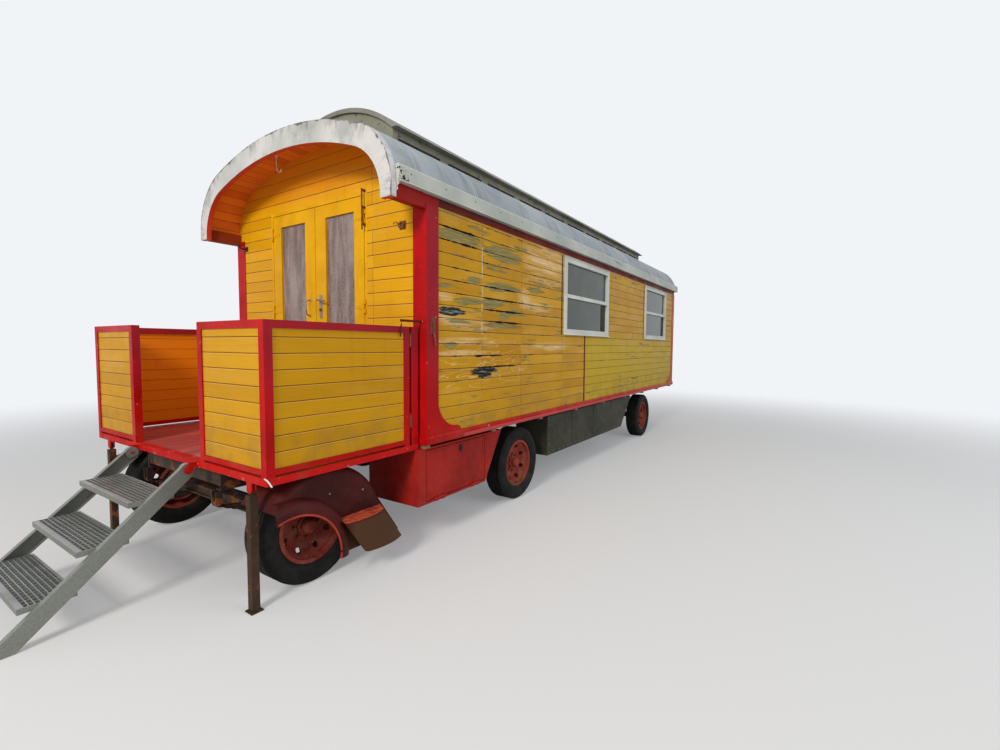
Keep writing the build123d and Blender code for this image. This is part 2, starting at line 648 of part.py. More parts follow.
def locker():
    """The left locker: a sheet metal box with a slanted rear end, open behind its flap."""
    low, top = LOCKER_BOTTOM, LOCKER_TOP
    slant = (LOCKER_REAR_BOTTOM - LOCKER_REAR_TOP) / (top - low)
    outer = slab_xz([(LOCKER_FRONT, low), (LOCKER_FRONT, top), (LOCKER_REAR_TOP, top),
                     (LOCKER_REAR_BOTTOM, low)], LOCKER_INNER_Y, LOCKER_OUTER_Y)
    m = LOCKER_METAL
    inner = slab_xz([(LOCKER_FRONT - m, low + m), (LOCKER_FRONT - m, top - m),
                     (LOCKER_REAR_TOP + 1.2 * m + slant * m, top - m),
                     (LOCKER_REAR_BOTTOM + 1.2 * m - slant * m, low + m)],
                    LOCKER_INNER_Y + m, LOCKER_OUTER_Y - m)
    mouth = block(FLAP_REAR - MOVE_GAP, FLAP_FRONT + MOVE_GAP, LOCKER_OUTER_Y - 2 * m,
                  LOCKER_OUTER_Y + 1, FLAP_BOTTOM - MOVE_GAP, FLAP_TOP + MOVE_GAP)
    return outer - inner - mouth


def hinge_pair(at, along):
    """A butt hinge: the fixed half is the pin with a knuckle at each end, the moving half the
    knuckle between them."""
    start = Vector(*at)
    axis = Vector(*along)
    third = HINGE_LENGTH / 3
    pin = rod(start, start + axis * HINGE_LENGTH, HINGE_PIN_R)
    fixed = pin
    for offset in (0, 2 * third):
        low = start + axis * offset
        fixed = fixed + rod(low, low + axis * (third - HINGE_PLAY), HINGE_R)
    middle = start + axis * (third + HINGE_PLAY / 2)
    moving = rod(middle, middle + axis * (third - 2 * HINGE_PLAY), HINGE_R)
    moving = moving - rod(start, start + axis * HINGE_LENGTH, HINGE_PIN_R + PIN_GAP)
    return fixed, moving


def door_leaf(side):
    """One door leaf with its glass opening; side is 1 for the left leaf, -1 for the right."""
    meeting = DOOR_CENTRE + side * MOVE_GAP / 2
    edge = DOOR_CENTRE + side * (DOORWAY_HALF - DOOR_CASING - MOVE_GAP)
    top = DOORWAY_TOP - DOOR_CASING - MOVE_GAP
    low = FLOOR_TOP + DOOR_SILL + MOVE_GAP
    leaf = block(-DOOR_LEAF, 0, meeting, edge, low, top)
    glass_in = DOOR_CENTRE + side * GLASS_FROM_MEETING
    glass_out = DOOR_CENTRE + side * (GLASS_FROM_MEETING + GLASS_WIDTH)
    leaf = leaf - block(-DOOR_LEAF - 1, 1, glass_in, glass_out, GLASS_BOTTOM, GLASS_TOP)
    hinge_y = edge + side * MOVE_GAP / 2
    for z in DOOR_HINGES:
        barrel = hinge_pair((HINGE_R + 2, hinge_y, z), (0, 0, 1))[1]
        third = HINGE_LENGTH / 3
        strap = block(0, 5, hinge_y - side * HINGE_R * 0.4, edge - side * 40,
                      z + third + 0.25, z + 2 * third - 0.75)
        strap = strap + block(0, HINGE_R, hinge_y - side * (MOVE_GAP / 2 + 6), hinge_y - side * 5.6,
                              z + third + 0.25, z + 2 * third - 0.75)
        leaf = leaf + (barrel + strap - rod((HINGE_R + 2, hinge_y, z),
                                            (HINGE_R + 2, hinge_y, z + HINGE_LENGTH),
                                            HINGE_PIN_R + PIN_GAP))
    return leaf


def door_glass(side):
    """The textured pane of one leaf."""
    near = DOOR_CENTRE + side * (GLASS_FROM_MEETING + 0.2)
    far = DOOR_CENTRE + side * (GLASS_FROM_MEETING + GLASS_WIDTH - 0.2)
    return block(-DOOR_LEAF / 2 - PANE / 2, -DOOR_LEAF / 2 + PANE / 2, near, far,
                 GLASS_BOTTOM + 0.2, GLASS_TOP - 0.2)


def door_casing():
    """The frame round the double door, with its sill and the fixed halves of the hinges."""
    outer = block(-WALL, 0, DOOR_CENTRE - DOORWAY_HALF + 0.2, DOOR_CENTRE + DOORWAY_HALF - 0.2,
                  FLOOR_TOP, DOORWAY_TOP - 0.2)
    inner = block(-WALL - 1, 1, DOOR_CENTRE - DOORWAY_HALF + DOOR_CASING,
                  DOOR_CENTRE + DOORWAY_HALF - DOOR_CASING,
                  FLOOR_TOP + DOOR_SILL, DOORWAY_TOP - DOOR_CASING)
    casing = outer - inner
    third = HINGE_LENGTH / 3
    for side in (-1, 1):
        hinge_y = DOOR_CENTRE + side * (DOORWAY_HALF - DOOR_CASING - MOVE_GAP / 2)
        for z in DOOR_HINGES:
            fixed = hinge_pair((HINGE_R + 2, hinge_y, z), (0, 0, 1))[0]
            for offset in (0, 2 * third):
                fixed = fixed + block(0, HINGE_R + 2, hinge_y + side * MOVE_GAP / 2,
                                      hinge_y + side * 20, z + offset, z + offset + third - 0.5)
            casing = casing + fixed
    return casing


def end_wall(face_x, outward):
    """An arched end wall between the posts, grooved on its outer face."""
    top = ROOF_CROWN
    x0, x1 = (face_x - WALL, face_x) if outward > 0 else (face_x, face_x + WALL)
    if outward > 0:
        slab = end_boards(-ROOF_HALF, ROOF_HALF, face_x, WALL, FLOOR_TOP, top, BOARD_PITCH)
    else:
        slab = mirror(end_boards(-ROOF_HALF, ROOF_HALF, -face_x, WALL, FLOOR_TOP, top,
                                 BOARD_PITCH), Plane.YZ)
    inset = SKIN + LINING + 2 * SEAT_GAP
    form = roof_arch(inset, FLOOR_TOP - 1, x0 - 1, x1 + 1)
    wall = slab & form
    plate_inner = BODY_HALF - PLATE_WIDTH
    for side in (-1, 1):
        wall = wall - block(x0 - 1, x1 + 1, side * (BODY_HALF - POST), side * (BODY_HALF + 50),
                            FLOOR_TOP - 1, PLATE_TOP - PLATE_DEPTH)
        wall = wall - block(x0 - 1, x1 + 1, side * plate_inner, side * (BODY_HALF + 50),
                            FLOOR_TOP - 1, PLATE_TOP)
    return wall


def front_wall():
    """The front end wall with the doorway cut through."""
    doorway = block(-WALL - 1, 1, DOOR_CENTRE - DOORWAY_HALF, DOOR_CENTRE + DOORWAY_HALF,
                    FLOOR_TOP - 1, DOORWAY_TOP)
    return end_wall(0, 1) - doorway


def side_wall():
    """The left side wall with its two window openings."""
    wall = side_boards(REAR_X + POST, -POST, BODY_HALF, WALL, FLOOR_TOP,
                       PLATE_TOP - PLATE_DEPTH, BOARD_PITCH)
    for start, width in WINDOWS:
        wall = wall - block(-start - width + CASING, -start - CASING, BODY_HALF - WALL - 1,
                            BODY_HALF + 1, WINDOW_BOTTOM + CASING, WINDOW_TOP - CASING)
    return wall


def window_frame(start, width):
    """A left side window: outer casing, sash and the bar between its two panes."""
    x0, x1 = -start - width, -start
    casing = block(x0, x1, BODY_HALF, BODY_HALF + CASING_PROUD, WINDOW_BOTTOM, WINDOW_TOP)
    gap = 0.5
    sash = block(x0 + CASING + gap, x1 - CASING - gap, BODY_HALF - SASH_DEPTH, BODY_HALF,
                 WINDOW_BOTTOM + CASING + gap, WINDOW_TOP - CASING - gap)
    frame = casing + sash
    for z0, z1 in pane_heights():
        frame = frame - block(x0 + CASING + SASH, x1 - CASING - SASH, BODY_HALF - SASH_DEPTH - 1,
                              BODY_HALF + CASING_PROUD + 1, z0, z1)
    return frame


def pane_heights():
    """Lowest and highest edge of the two panes of a side window."""
    low, high = WINDOW_BOTTOM + CASING + SASH, WINDOW_TOP - CASING - SASH
    middle = (low + high) / 2
    return ((low, middle - SASH_BAR / 2), (middle + SASH_BAR / 2, high))


def window_pane(start, width, z0, z1):
    """One pane of a left side window."""
    x0, x1 = -start - width + CASING + SASH + 0.2, -start - CASING - SASH - 0.2
    middle = BODY_HALF - SASH_DEPTH / 2
    return block(x0, x1, middle - PANE / 2, middle + PANE / 2, z0 + 0.2, z1 - 0.2)


def corner_post(x0, x1, lip):
    """A left corner post with its curved foot bracket; lip is the direction that it reaches in."""
    top = PLATE_TOP - PLATE_DEPTH
    outer = BODY_HALF + TRIM_PROUD
    post = block(x0, x1, BODY_HALF - POST, outer, FLOOR_TOP, top)
    start = x1 if lip > 0 else x0
    end = start + lip * (BRACKET_REACH - POST - 42)
    low = BRACKET_LIP + 14
    knee = (start + 0.36 * (end - start), low + 0.27 * (BRACKET_TOP - low))
    face_y = BODY_HALF
    edges = [
        Line((start, face_y, FLOOR_TOP), (start, face_y, BRACKET_TOP)),
        ThreePointArc((start, face_y, BRACKET_TOP), (knee[0], face_y, knee[1]),
                      (end, face_y, low)),
        Line((end, face_y, low), (end + lip * 34, face_y, BRACKET_LIP)),
        Line((end + lip * 34, face_y, BRACKET_LIP), (end + lip * 42, face_y, FLOOR_TOP)),
        Line((end + lip * 42, face_y, FLOOR_TOP), (start, face_y, FLOOR_TOP)),
    ]
    bracket = extrude(make_face(edges), TRIM_PROUD, dir=(0, 1, 0))
    return post + bracket


def sill():
    """The red sill moulding along both sides and across both ends."""
    low, top = FLOOR_BOTTOM, FLOOR_TOP
    profile = [(BODY_HALF, low), (BODY_HALF + SILL_PROUD - 8, low), (BODY_HALF + SILL_PROUD, low + 14),
               (BODY_HALF + SILL_PROUD, top - 16), (BODY_HALF + SILL_PROUD - 8, top),
               (BODY_HALF, top)]
    strip = slab_yz(profile, REAR_X - SILL_PROUD, SILL_PROUD)
    ends = [block(x0, x1, -BODY_HALF - 2, BODY_HALF + 2, low, top)
            for x0, x1 in ((0, SILL_PROUD), (REAR_X - SILL_PROUD, REAR_X))]
    return joined(both_sides(strip) + ends)


def floor():
    """The floor slab on its cross bearers."""
    pieces = [block(REAR_X, 0, -BODY_HALF, BODY_HALF, FLOOR_BOTTOM, FLOOR_TOP)]
    pitch = (BODY_LENGTH - BEARER_WIDTH) / (BEARER_COUNT - 1)
    for number in range(BEARER_COUNT):
        x1 = -number * pitch
        pieces.append(block(x1 - BEARER_WIDTH, x1, -BODY_HALF + 20, BODY_HALF - 20,
                            FLOOR_BOTTOM - BEARER_DEPTH, FLOOR_BOTTOM))
    return joined(pieces)


def roof_well():
    """The opening in the roof under the lantern."""
    return block(LANTERN_FRONT - ROOF_WELL_INSET, LANTERN_FRONT - LANTERN_LENGTH + ROOF_WELL_INSET,
                 -LANTERN_HALF + ROOF_WELL_INSET, LANTERN_HALF - ROOF_WELL_INSET,
                 PLATE_TOP, LANTERN_CROWN)


def roof_layer(inset, thick):
    """One layer of the roof, from the rear overhang to the canopy's front."""
    foot = PLATE_TOP - CANOPY_DROP - 50
    shell = (roof_arch(inset, foot, ROOF_REAR, CANOPY_REACH)
             - roof_arch(inset + thick, foot - 1, ROOF_REAR - 1, CANOPY_REACH + 1))
    below = block(ROOF_REAR - 1, CANOPY_REACH + 1, -ROOF_HALF - 50, ROOF_HALF + 50,
                  foot - 2, PLATE_TOP)
    return shell - below - roof_well()


def roof_fascia():
    """The arched board that closes the front of the canopy."""
    foot = PLATE_TOP - CANOPY_DROP
    outer = arch(ROOF_HALF, ROOF_CROWN, ROOF_CROWN_R, ROOF_CORNER_R, foot, CANOPY_REACH)
    inner = arch(ROOF_HALF - FASCIA_SIDE, ROOF_CROWN - FASCIA_CROWN, ROOF_CROWN_R - FASCIA_SIDE,
                 ROOF_CORNER_R - FASCIA_SIDE, foot - 1, CANOPY_REACH - 1)
    return (extrude(outer, FASCIA, dir=(1, 0, 0))
            - extrude(inner, FASCIA + 2, dir=(1, 0, 0)))


def wall_plate():
    """The left beam on top of the wall, which runs on under the canopy."""
    inner, outer = BODY_HALF - PLATE_WIDTH, BODY_HALF
    beam = block(REAR_X, CANOPY_REACH, inner, outer, PLATE_TOP - PLATE_DEPTH, PLATE_TOP)
    canopy = block(TRIM_PROUD, CANOPY_REACH, inner, outer, PLATE_TOP - CANOPY_DROP,
                   PLATE_TOP - PLATE_DEPTH)
    return beam + canopy


def gutter():
    """The left eave strip: a ledge, an upright face and a drip lip."""
    inner, face = ROOF_HALF - 40, ROOF_HALF + GUTTER_PROUD
    profile = [(inner, PLATE_TOP), (inner, PLATE_TOP + GUTTER_RISE), (ROOF_HALF, PLATE_TOP + GUTTER_RISE),
               (face, PLATE_TOP + GUTTER_RISE - 18), (face, PLATE_TOP + 12),
               (face + GUTTER_LIP, PLATE_TOP + 4), (face + GUTTER_LIP, PLATE_TOP)]
    strip = slab_yz(profile, ROOF_REAR, GUTTER_FRONT)
    clear = roof_arch(-SEAT_GAP, PLATE_TOP - 50, ROOF_REAR - 1, GUTTER_FRONT + 1)
    return strip - clear


def lantern_roof_form(drop, x0, x1):
    """The lantern's roof curve lowered by drop, as a solid down to below its eave."""
    rise = LANTERN_CROWN - LANTERN_EAVE
    radius = (LANTERN_ROOF_HALF ** 2 + rise ** 2) / (2 * rise)
    low = LANTERN_CROWN - radius
    r = radius - drop
    y = sqrt(r ** 2 - (LANTERN_EAVE - low) ** 2)
    z = LANTERN_EAVE
    edges = [
        ThreePointArc((x0, -y, z), (x0, 0, low + r), (x0, y, z)),
        Line((x0, y, z), (x0, y, PLATE_TOP)),
        Line((x0, y, PLATE_TOP), (x0, -y, PLATE_TOP)),
        Line((x0, -y, PLATE_TOP), (x0, -y, z)),
    ]
    return extrude(make_face(edges), x1 - x0, dir=(1, 0, 0))


def lantern_walls():
    """The lantern's side and end walls, scribed to the roof, with its row of window slots."""
    x1 = LANTERN_FRONT
    x0 = x1 - LANTERN_LENGTH
    wall = LANTERN_WALL
    base = PLATE_TOP
    box = (block(x0, x1, -LANTERN_HALF, LANTERN_HALF, base, LANTERN_CROWN)
           - block(x0 + wall, x1 - wall, -LANTERN_HALF + wall, LANTERN_HALF - wall,
                   base - 1, LANTERN_CROWN + 1))
    box = box & lantern_roof_form(LANTERN_ROOF + SEAT_GAP, x0 - 1, x1 + 1)
    box = box - roof_arch(-SEAT_GAP, base - 1, x0 - 1, x1 + 1)
    for start in lantern_pane_starts():
        box = box - block(start - LANTERN_PANE, start, -LANTERN_HALF - 1, LANTERN_HALF + 1,
                          LANTERN_PANE_BOTTOM, LANTERN_PANE_TOP)
    return box


def lantern_pane_starts():
    """Front edge of each lantern window."""
    pitch = LANTERN_LENGTH / LANTERN_PANES
    margin = (pitch - LANTERN_PANE) / 2
    return [LANTERN_FRONT - margin - number * pitch for number in range(LANTERN_PANES)]


def lantern_roof():
    """The curved roof of the lantern, overhanging its walls."""
    x1 = LANTERN_FRONT + LANTERN_OVERHANG
    x0 = LANTERN_FRONT - LANTERN_LENGTH - LANTERN_OVERHANG
    shell = lantern_roof_form(0, x0, x1) - lantern_roof_form(LANTERN_ROOF, x0 - 1, x1 + 1)
    low = block(x0 - 1, x1 + 1, -LANTERN_ROOF_HALF - 5, LANTERN_ROOF_HALF + 5,
                PLATE_TOP - 1, LANTERN_EAVE)
    return shell - low


def lantern_glazing():
    """The long strip of dark glazing on the inner face of the lantern's left wall."""
    inner = LANTERN_HALF - LANTERN_WALL
    starts = lantern_pane_starts()
    return block(starts[-1] - LANTERN_PANE - 20, starts[0] + 20, inner - PANE, inner,
                 LANTERN_PANE_BOTTOM - 8, LANTERN_PANE_TOP + 15)


def deck_frame():
    """The porch frame with its joists, the stands' clevises and the steps' hinge ears."""
    x0, x1 = DECK_START, PORCH_LENGTH
    outer = block(x0, x1, -PORCH_HALF, PORCH_HALF, DECK_BOTTOM, DECK_TOP)
    inner = block(x0 + DECK_FRAME, x1 - DECK_FRAME, -PORCH_HALF + DECK_FRAME,
                  PORCH_HALF - DECK_FRAME, DECK_BOTTOM - 1, DECK_TOP + 1)
    pieces = [outer - inner]
    joist_top = DECK_TOP - DECK_BOARD
    for number in range(1, DECK_JOISTS + 1):
        x = x0 + number * (x1 - x0) / (DECK_JOISTS + 1)
        pieces.append(block(x - 25, x + 25, -PORCH_HALF + 10, PORCH_HALF - 10, DECK_BOTTOM,
                            joist_top))
    hx, hz = STEP_HINGE
    for side in (-1, 1):
        for gap in (-1, 1):
            near = STAND_X + gap * (STAND_TONGUE / 2 + 1)
            far = near + gap * STAND_EAR
            ear = block(near, far, side * (STAND_Y - 24), side * (STAND_Y + 24), STAND_HINGE,
                        DECK_BOTTOM)
            ear = ear + rod((near, side * STAND_Y, STAND_HINGE), (far, side * STAND_Y, STAND_HINGE),
                            24)
            pieces.append(ear)
        reach = STAND_TONGUE / 2 + 1 + STAND_EAR
        pieces.append(rod((STAND_X - reach, side * STAND_Y, STAND_HINGE),
                          (STAND_X + reach, side * STAND_Y, STAND_HINGE), STAND_PIN_R))
        ear_y = side * (STEP_HALF + MOVE_GAP)
        far_y = ear_y + side * STEP_EAR
        pieces.append(block(x1 - 4, hx, ear_y, far_y, DECK_BOTTOM, DECK_TOP - 6)
                      + rod((hx, ear_y, hz), (hx, far_y, hz), 26))
        pieces.append(rod((hx, side * (STEP_HALF - STRINGER[1] - 6), hz), (hx, far_y, hz),
                          STEP_PIN_R))
    return joined(pieces)


def deck_boards():
    """The porch floor: boards laid lengthwise on the joists, with a narrow gap between them."""
    x0, x1 = DECK_START + DECK_FRAME + 1, PORCH_LENGTH - DECK_FRAME - 1
    half = PORCH_HALF - DECK_FRAME - 1
    low, top = DECK_TOP - DECK_BOARD, DECK_TOP
    boards = []
    count = round(2 * half / DECK_BOARD_PITCH)
    pitch = 2 * half / count
    for number in range(count):
        start = -half + number * pitch
        boards.append(block(x0, x1, start, start + pitch - DECK_BOARD_GAP, low, top))
    return boards


def rail_frame():
    """The left balustrade's frame: a side run, a front run and the post by the wall."""
    low = DECK_TOP + RAIL_GAP
    face = PORCH_HALF
    t = RAIL_POST
    front = PORCH_LENGTH
    side_run = block(RAIL_REAR, front, face - t, face, low, RAIL_TOP)
    side_hole = block(RAIL_REAR + t, front - t, face - t - 1, face + 1,
                      low + RAIL_BOTTOM_MEMBER, RAIL_TOP - RAIL_TOP_MEMBER)
    front_run = block(front - t, front, RAIL_OPENING_HALF, face, low, RAIL_TOP)
    front_hole = block(front - t - 1, front + 1, RAIL_OPENING_HALF + t, face - t,
                       low + RAIL_BOTTOM_MEMBER, RAIL_TOP - RAIL_TOP_MEMBER)
    pieces = [side_run - side_hole, front_run - front_hole]
    for x, y in ((front - t, RAIL_OPENING_HALF), (front - t, face - t), (RAIL_REAR, face - t)):
        pieces.append(block(x, x + t, y, y + t, DECK_TOP, low + 1))
    pieces.append(block(HINGE_POST[0], HINGE_POST[1], face - t, face, DECK_TOP, RAIL_TOP))
    for z in (low + RAIL_LUG_FOOT, RAIL_TOP - RAIL_LUG_FOOT - RAIL_LUG):
        pieces.append(block(HINGE_POST[1] - 2, RAIL_REAR + 2, face - 34, face - 16, z, z + RAIL_LUG))
    return joined(pieces)


def rail_panels():
    """The boarded panels of the left balustrade."""
    low = DECK_TOP + RAIL_GAP + RAIL_BOTTOM_MEMBER
    high = RAIL_TOP - RAIL_TOP_MEMBER
    t = RAIL_POST
    inset = (RAIL_POST - RAIL_PANEL) / 2
    side = side_boards(RAIL_REAR + t, PORCH_LENGTH - t, PORCH_HALF - inset + 6, RAIL_PANEL, low,
                       high, RAIL_PITCH, both_faces=True)
    front = end_boards(RAIL_OPENING_HALF + t, PORCH_HALF - t, PORCH_LENGTH - inset + 6,
                       RAIL_PANEL, low, high, RAIL_PITCH, both_faces=True)
    return [side, front]


def stand():
    """The left porch stand: tongue, square tube and foot plate."""
    half = STAND_TUBE / 2
    tube_top = STAND_HINGE - 33
    tube = block(STAND_X - half, STAND_X + half, STAND_Y - half, STAND_Y + half, 8, tube_top)
    bore = block(STAND_X - half + 4, STAND_X + half - 4, STAND_Y - half + 4, STAND_Y + half - 4,
                 16, tube_top - 8)
    plate = block(STAND_X - STAND_FOOT / 2, STAND_X + STAND_FOOT / 2, STAND_Y - STAND_FOOT / 2,
                  STAND_Y + STAND_FOOT / 2, 0, 8)
    t = STAND_TONGUE / 2
    tongue = (block(STAND_X - t, STAND_X + t, STAND_Y - 18, STAND_Y + 18, tube_top - 2, STAND_HINGE)
              + rod((STAND_X - t, STAND_Y, STAND_HINGE), (STAND_X + t, STAND_Y, STAND_HINGE), 18))
    pin = rod((STAND_X - t - 1, STAND_Y, STAND_HINGE), (STAND_X + t + 1, STAND_Y, STAND_HINGE),
              STAND_PIN_R + PIN_GAP)
    return tube - bore + plate + tongue - pin


def stringers():
    """The two channel stringers of the hinged steps, with rounded eyes and flat feet."""
    depth, flange, metal = STRINGER
    hx, hz = STEP_HINGE
    along = (cos(SLOPE), -sin(SLOPE))
    up = (sin(SLOPE), cos(SLOPE))

    def at(s, n):
        return (hx + along[0] * s + up[0] * n, hz + along[1] * s + up[1] * n)

    def foot(n):
        s = (hz + up[1] * n) / sin(SLOPE)
        return at(s, n)

    top_n, low_n = depth / 2 - 8, -depth / 2 - 8
    outer = [at(0, top_n), foot(top_n), foot(low_n), at(0, low_n)]
    inner = [at(-30, top_n - metal), foot(top_n - metal), foot(low_n + metal),
             at(-30, low_n + metal)]
    inner = [inner[0], (inner[1][0] + 20, inner[1][1] - 17), (inner[2][0] + 20, inner[2][1] - 17),
             inner[3]]
    y1 = STEP_HALF
    web = slab_xz(outer, y1 - flange, y1)
    hollow = slab_xz(inner, y1 - flange - 1, y1 - metal)
    eye = rod((hx, y1 - flange, hz), (hx, y1, hz), STRINGER_EYE_R)
    stringer = web - hollow + eye
    foot_low, foot_high = foot(low_n)[0], foot(top_n)[0]
    stringer = stringer + block(foot_low + 4, foot_high - 4, y1 - flange, y1 - 1, 0, 8)
    stringer = stringer - rod((hx, y1 - flange - 1, hz), (hx, y1 + 1, hz), STEP_PIN_R + PIN_GAP)
    return both_sides(stringer)


def tread(x, z):
    """One grating tread: an edge frame with bearing bars, between the stringers' flanges."""
    half = STEP_HALF - STRINGER[1]
    low = z - STEP_TREAD_THICK
    edge = 6.0
    frame = (block(x, x + STEP_TREAD, -half, half, low, z)
             - block(x + edge, x + STEP_TREAD - edge, -half + edge, half - edge, low - 1, z + 1))
    pitch = 2 * half / (TREAD_BARS + 1)
    bars = [block(x + edge / 2, x + STEP_TREAD - edge / 2, -half + i * pitch - 2,
                  -half + i * pitch + 2, low, z - 1) for i in range(1, TREAD_BARS + 1)]
    return joined([frame] + bars)


def treads():
    """All the treads, from the top down."""
    return [tread(STEP_FIRST[0] + number * STEP_GOING, STEP_FIRST[1] - number * STEP_RISE)
            for number in range(STEP_TREADS)]


def side_box():
    """The left grey box between the mid and rear wheels: sheet walls, open at the top."""
    front, rear_top, rear_low, low = SIDE_BOX
    top = LOCKER_TOP
    m = SIDE_BOX_METAL
    slant = (rear_low - rear_top) / (top - low)
    outer = slab_xz([(front, low), (front, top), (rear_top, top), (rear_low, low)],
                    SIDE_BOX_INNER_Y, SIDE_BOX_OUTER_Y)
    inner = slab_xz([(front - m, low + m), (front - m, top + m),
                     (rear_top + 1.4 * m - slant * m, top + m),
                     (rear_low + 1.4 * m - slant * m, low + m)],
                    SIDE_BOX_INNER_Y + m, SIDE_BOX_OUTER_Y - m)
    return outer - inner


def locker_flap():
    """The left locker's flap with its bottom hinge knuckles."""
    face = LOCKER_OUTER_Y
    plate = block(FLAP_REAR, FLAP_FRONT, face - FLAP, face, FLAP_BOTTOM, FLAP_TOP)
    for start in flap_hinges():
        barrel = hinge_pair(start, (1, 0, 0))[1]
        third = HINGE_LENGTH / 3
        y, z = start[1], start[2]
        leaf = block(start[0] + third + 0.25, start[0] + 2 * third - 0.75, face, face + 5,
                     z + 2, z + 45)
        leaf = leaf + block(start[0] + third + 0.25, start[0] + 2 * third - 0.75, face, y,
                            z + 5.6, z + 12)
        hole = rod(start, (start[0] + HINGE_LENGTH, y, z), HINGE_PIN_R + PIN_GAP)
        plate = plate + (barrel + leaf - hole)
    return plate


def flap_hinges():
    """Start of each locker flap hinge."""
    y = LOCKER_OUTER_Y + HINGE_R + 2
    z = FLAP_BOTTOM - MOVE_GAP / 2
    return [(x, y, z) for x in (FLAP_REAR + 90, FLAP_FRONT - 90 - HINGE_LENGTH)]


def locker_with_hinges():
    """The left locker with the fixed halves of its flap's hinges."""
    body = locker()
    third = HINGE_LENGTH / 3
    for start in flap_hinges():
        fixed = hinge_pair(start, (1, 0, 0))[0]
        for offset in (0, 2 * third):
            x = start[0] + offset
            fixed = fixed + block(x, x + third - 0.5, LOCKER_OUTER_Y - 2, start[1],
                                  LOCKER_BOTTOM + 2, start[2] - MOVE_GAP / 2)
        body = body + fixed
    return body


def as_solids(shape):
    """Every solid of a shape, a list of shapes or a compound."""
    if isinstance(shape, (list, tuple)):
        return [solid for item in shape for solid in as_solids(item)]
    return list(shape.solids())


def build():
    """Every node of the wagon, by name."""
    nodes = {
        "chassis_rails": chassis_rails(),
        "cross_members": cross_members(),
        "rear_coupling": rear_coupling(),
        "front_axle": front_axle(),
        "rear_axles": [carrier_axle(*MID_AXLE), carrier_axle(*REAR_AXLE)],
        "leaf_springs": [side for x, top in ((FRONT_AXLE[0], TYRE_R + 40), (MID_AXLE[0], TYRE_R + 40),
                                             (REAR_AXLE[0], TYRE_R + 40))
                         for side in both_sides(leaf_spring(x, RAIL_Y, top))],
        "floor": floor(),
        "sill": sill(),
        "side_wall_left": side_wall(),
        "side_wall_right": mirror(side_wall(), Plane.XZ),
        "end_wall_front": front_wall(),
        "end_wall_rear": end_wall(REAR_X, -1),
        "corner_posts": both_sides(corner_post(-POST, TRIM_PROUD, -1))
                        + both_sides(corner_post(REAR_X - TRIM_PROUD, REAR_X + POST, 1)),
        "wall_plates": both_sides(wall_plate()),
        "roof_skin": roof_layer(0, SKIN),
        "roof_lining": roof_layer(SKIN + SEAT_GAP, LINING),
        "roof_fascia": roof_fascia(),
        "gutters": both_sides(gutter()),
        "lantern_walls": lantern_walls(),
        "lantern_roof": lantern_roof(),
        "lantern_panes": both_sides(lantern_glazing()),
        "window_frames": [side for start, width in WINDOWS
                          for side in both_sides(window_frame(start, width))],
        "window_panes": [side for start, width in WINDOWS for z0, z1 in pane_heights()
                         for side in both_sides(window_pane(start, width, z0, z1))],
        "door_casing": door_casing(),
        "door_left": door_leaf(1),
        "door_right": door_leaf(-1),
        "door_glass_left": door_glass(1),
        "door_glass_right": door_glass(-1),
        "deck_frame": deck_frame(),
        "deck_boards": deck_boards(),
        "rail_frames": both_sides(rail_frame()),
        "rail_panels": [side for panel in rail_panels() for side in both_sides(panel)],
        "mudguards": both_sides(mudguard()),
        "lockers": both_sides(locker_with_hinges()),
        "locker_flap_left": locker_flap(),
        "locker_flap_right": mirror(locker_flap(), Plane.XZ),
        "side_boxes": both_sides(side_box()),
        "stand_left": stand(),
        "stand_right": mirror(stand(), Plane.XZ),
        "step_stringers": stringers(),
        "step_treads": treads(),
        "knuckle_left": knuckle(),
        "knuckle_right": mirror(knuckle(), Plane.XZ),
        "tie_rod": tie_rod(),
    }
    for label, (x, half_track) in (("front", FRONT_AXLE), ("mid", MID_AXLE), ("rear", REAR_AXLE)):
        for hand, side in (("left", 1), ("right", -1)):
            nodes[f"wheel_{label}_{hand}"] = wheel(x, side * half_track)
            nodes[f"tyre_{label}_{hand}"] = tyre(x, side * half_track)
    return nodes


def middle_x():
    """Middle of the whole wagon along X, from the rear of the roof to the foot of the steps."""
    depth = STRINGER[0]
    top_n = depth / 2 - 8
    foot_s = (STEP_HINGE[1] + cos(SLOPE) * top_n) / sin(SLOPE)
    front = STEP_HINGE[0] + cos(SLOPE) * foot_s + sin(SLOPE) * top_n
    return (front + ROOF_REAR) / 2


os.makedirs("parts", exist_ok=True)
shift = Pos(-middle_x(), 0, 0)
print("shift along X", round(-middle_x(), 4))
for name, shape in build().items():
    solids = [shift * solid for solid in as_solids(shape)]
    piece = solids[0] if len(solids) == 1 else Compound(children=solids)
    export_step(piece, f"parts/{name}.step")
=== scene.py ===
# %% [markdown]
# # A circus living wagon
# The wagon is a boarded timber body on a three-axle steel chassis, with a porch and a raised
# roof light. Its solids come from the packed CAD model, which fixes every size. This lesson
# adds the surfaces and the small pieces: paint that cracks and fades, rusty steel, tyres with
# tread, window caps, handles, hooks and bolts.

# %% Load the frame
import math
import random

import bmesh
import bpy
from mathutils import Matrix, Vector


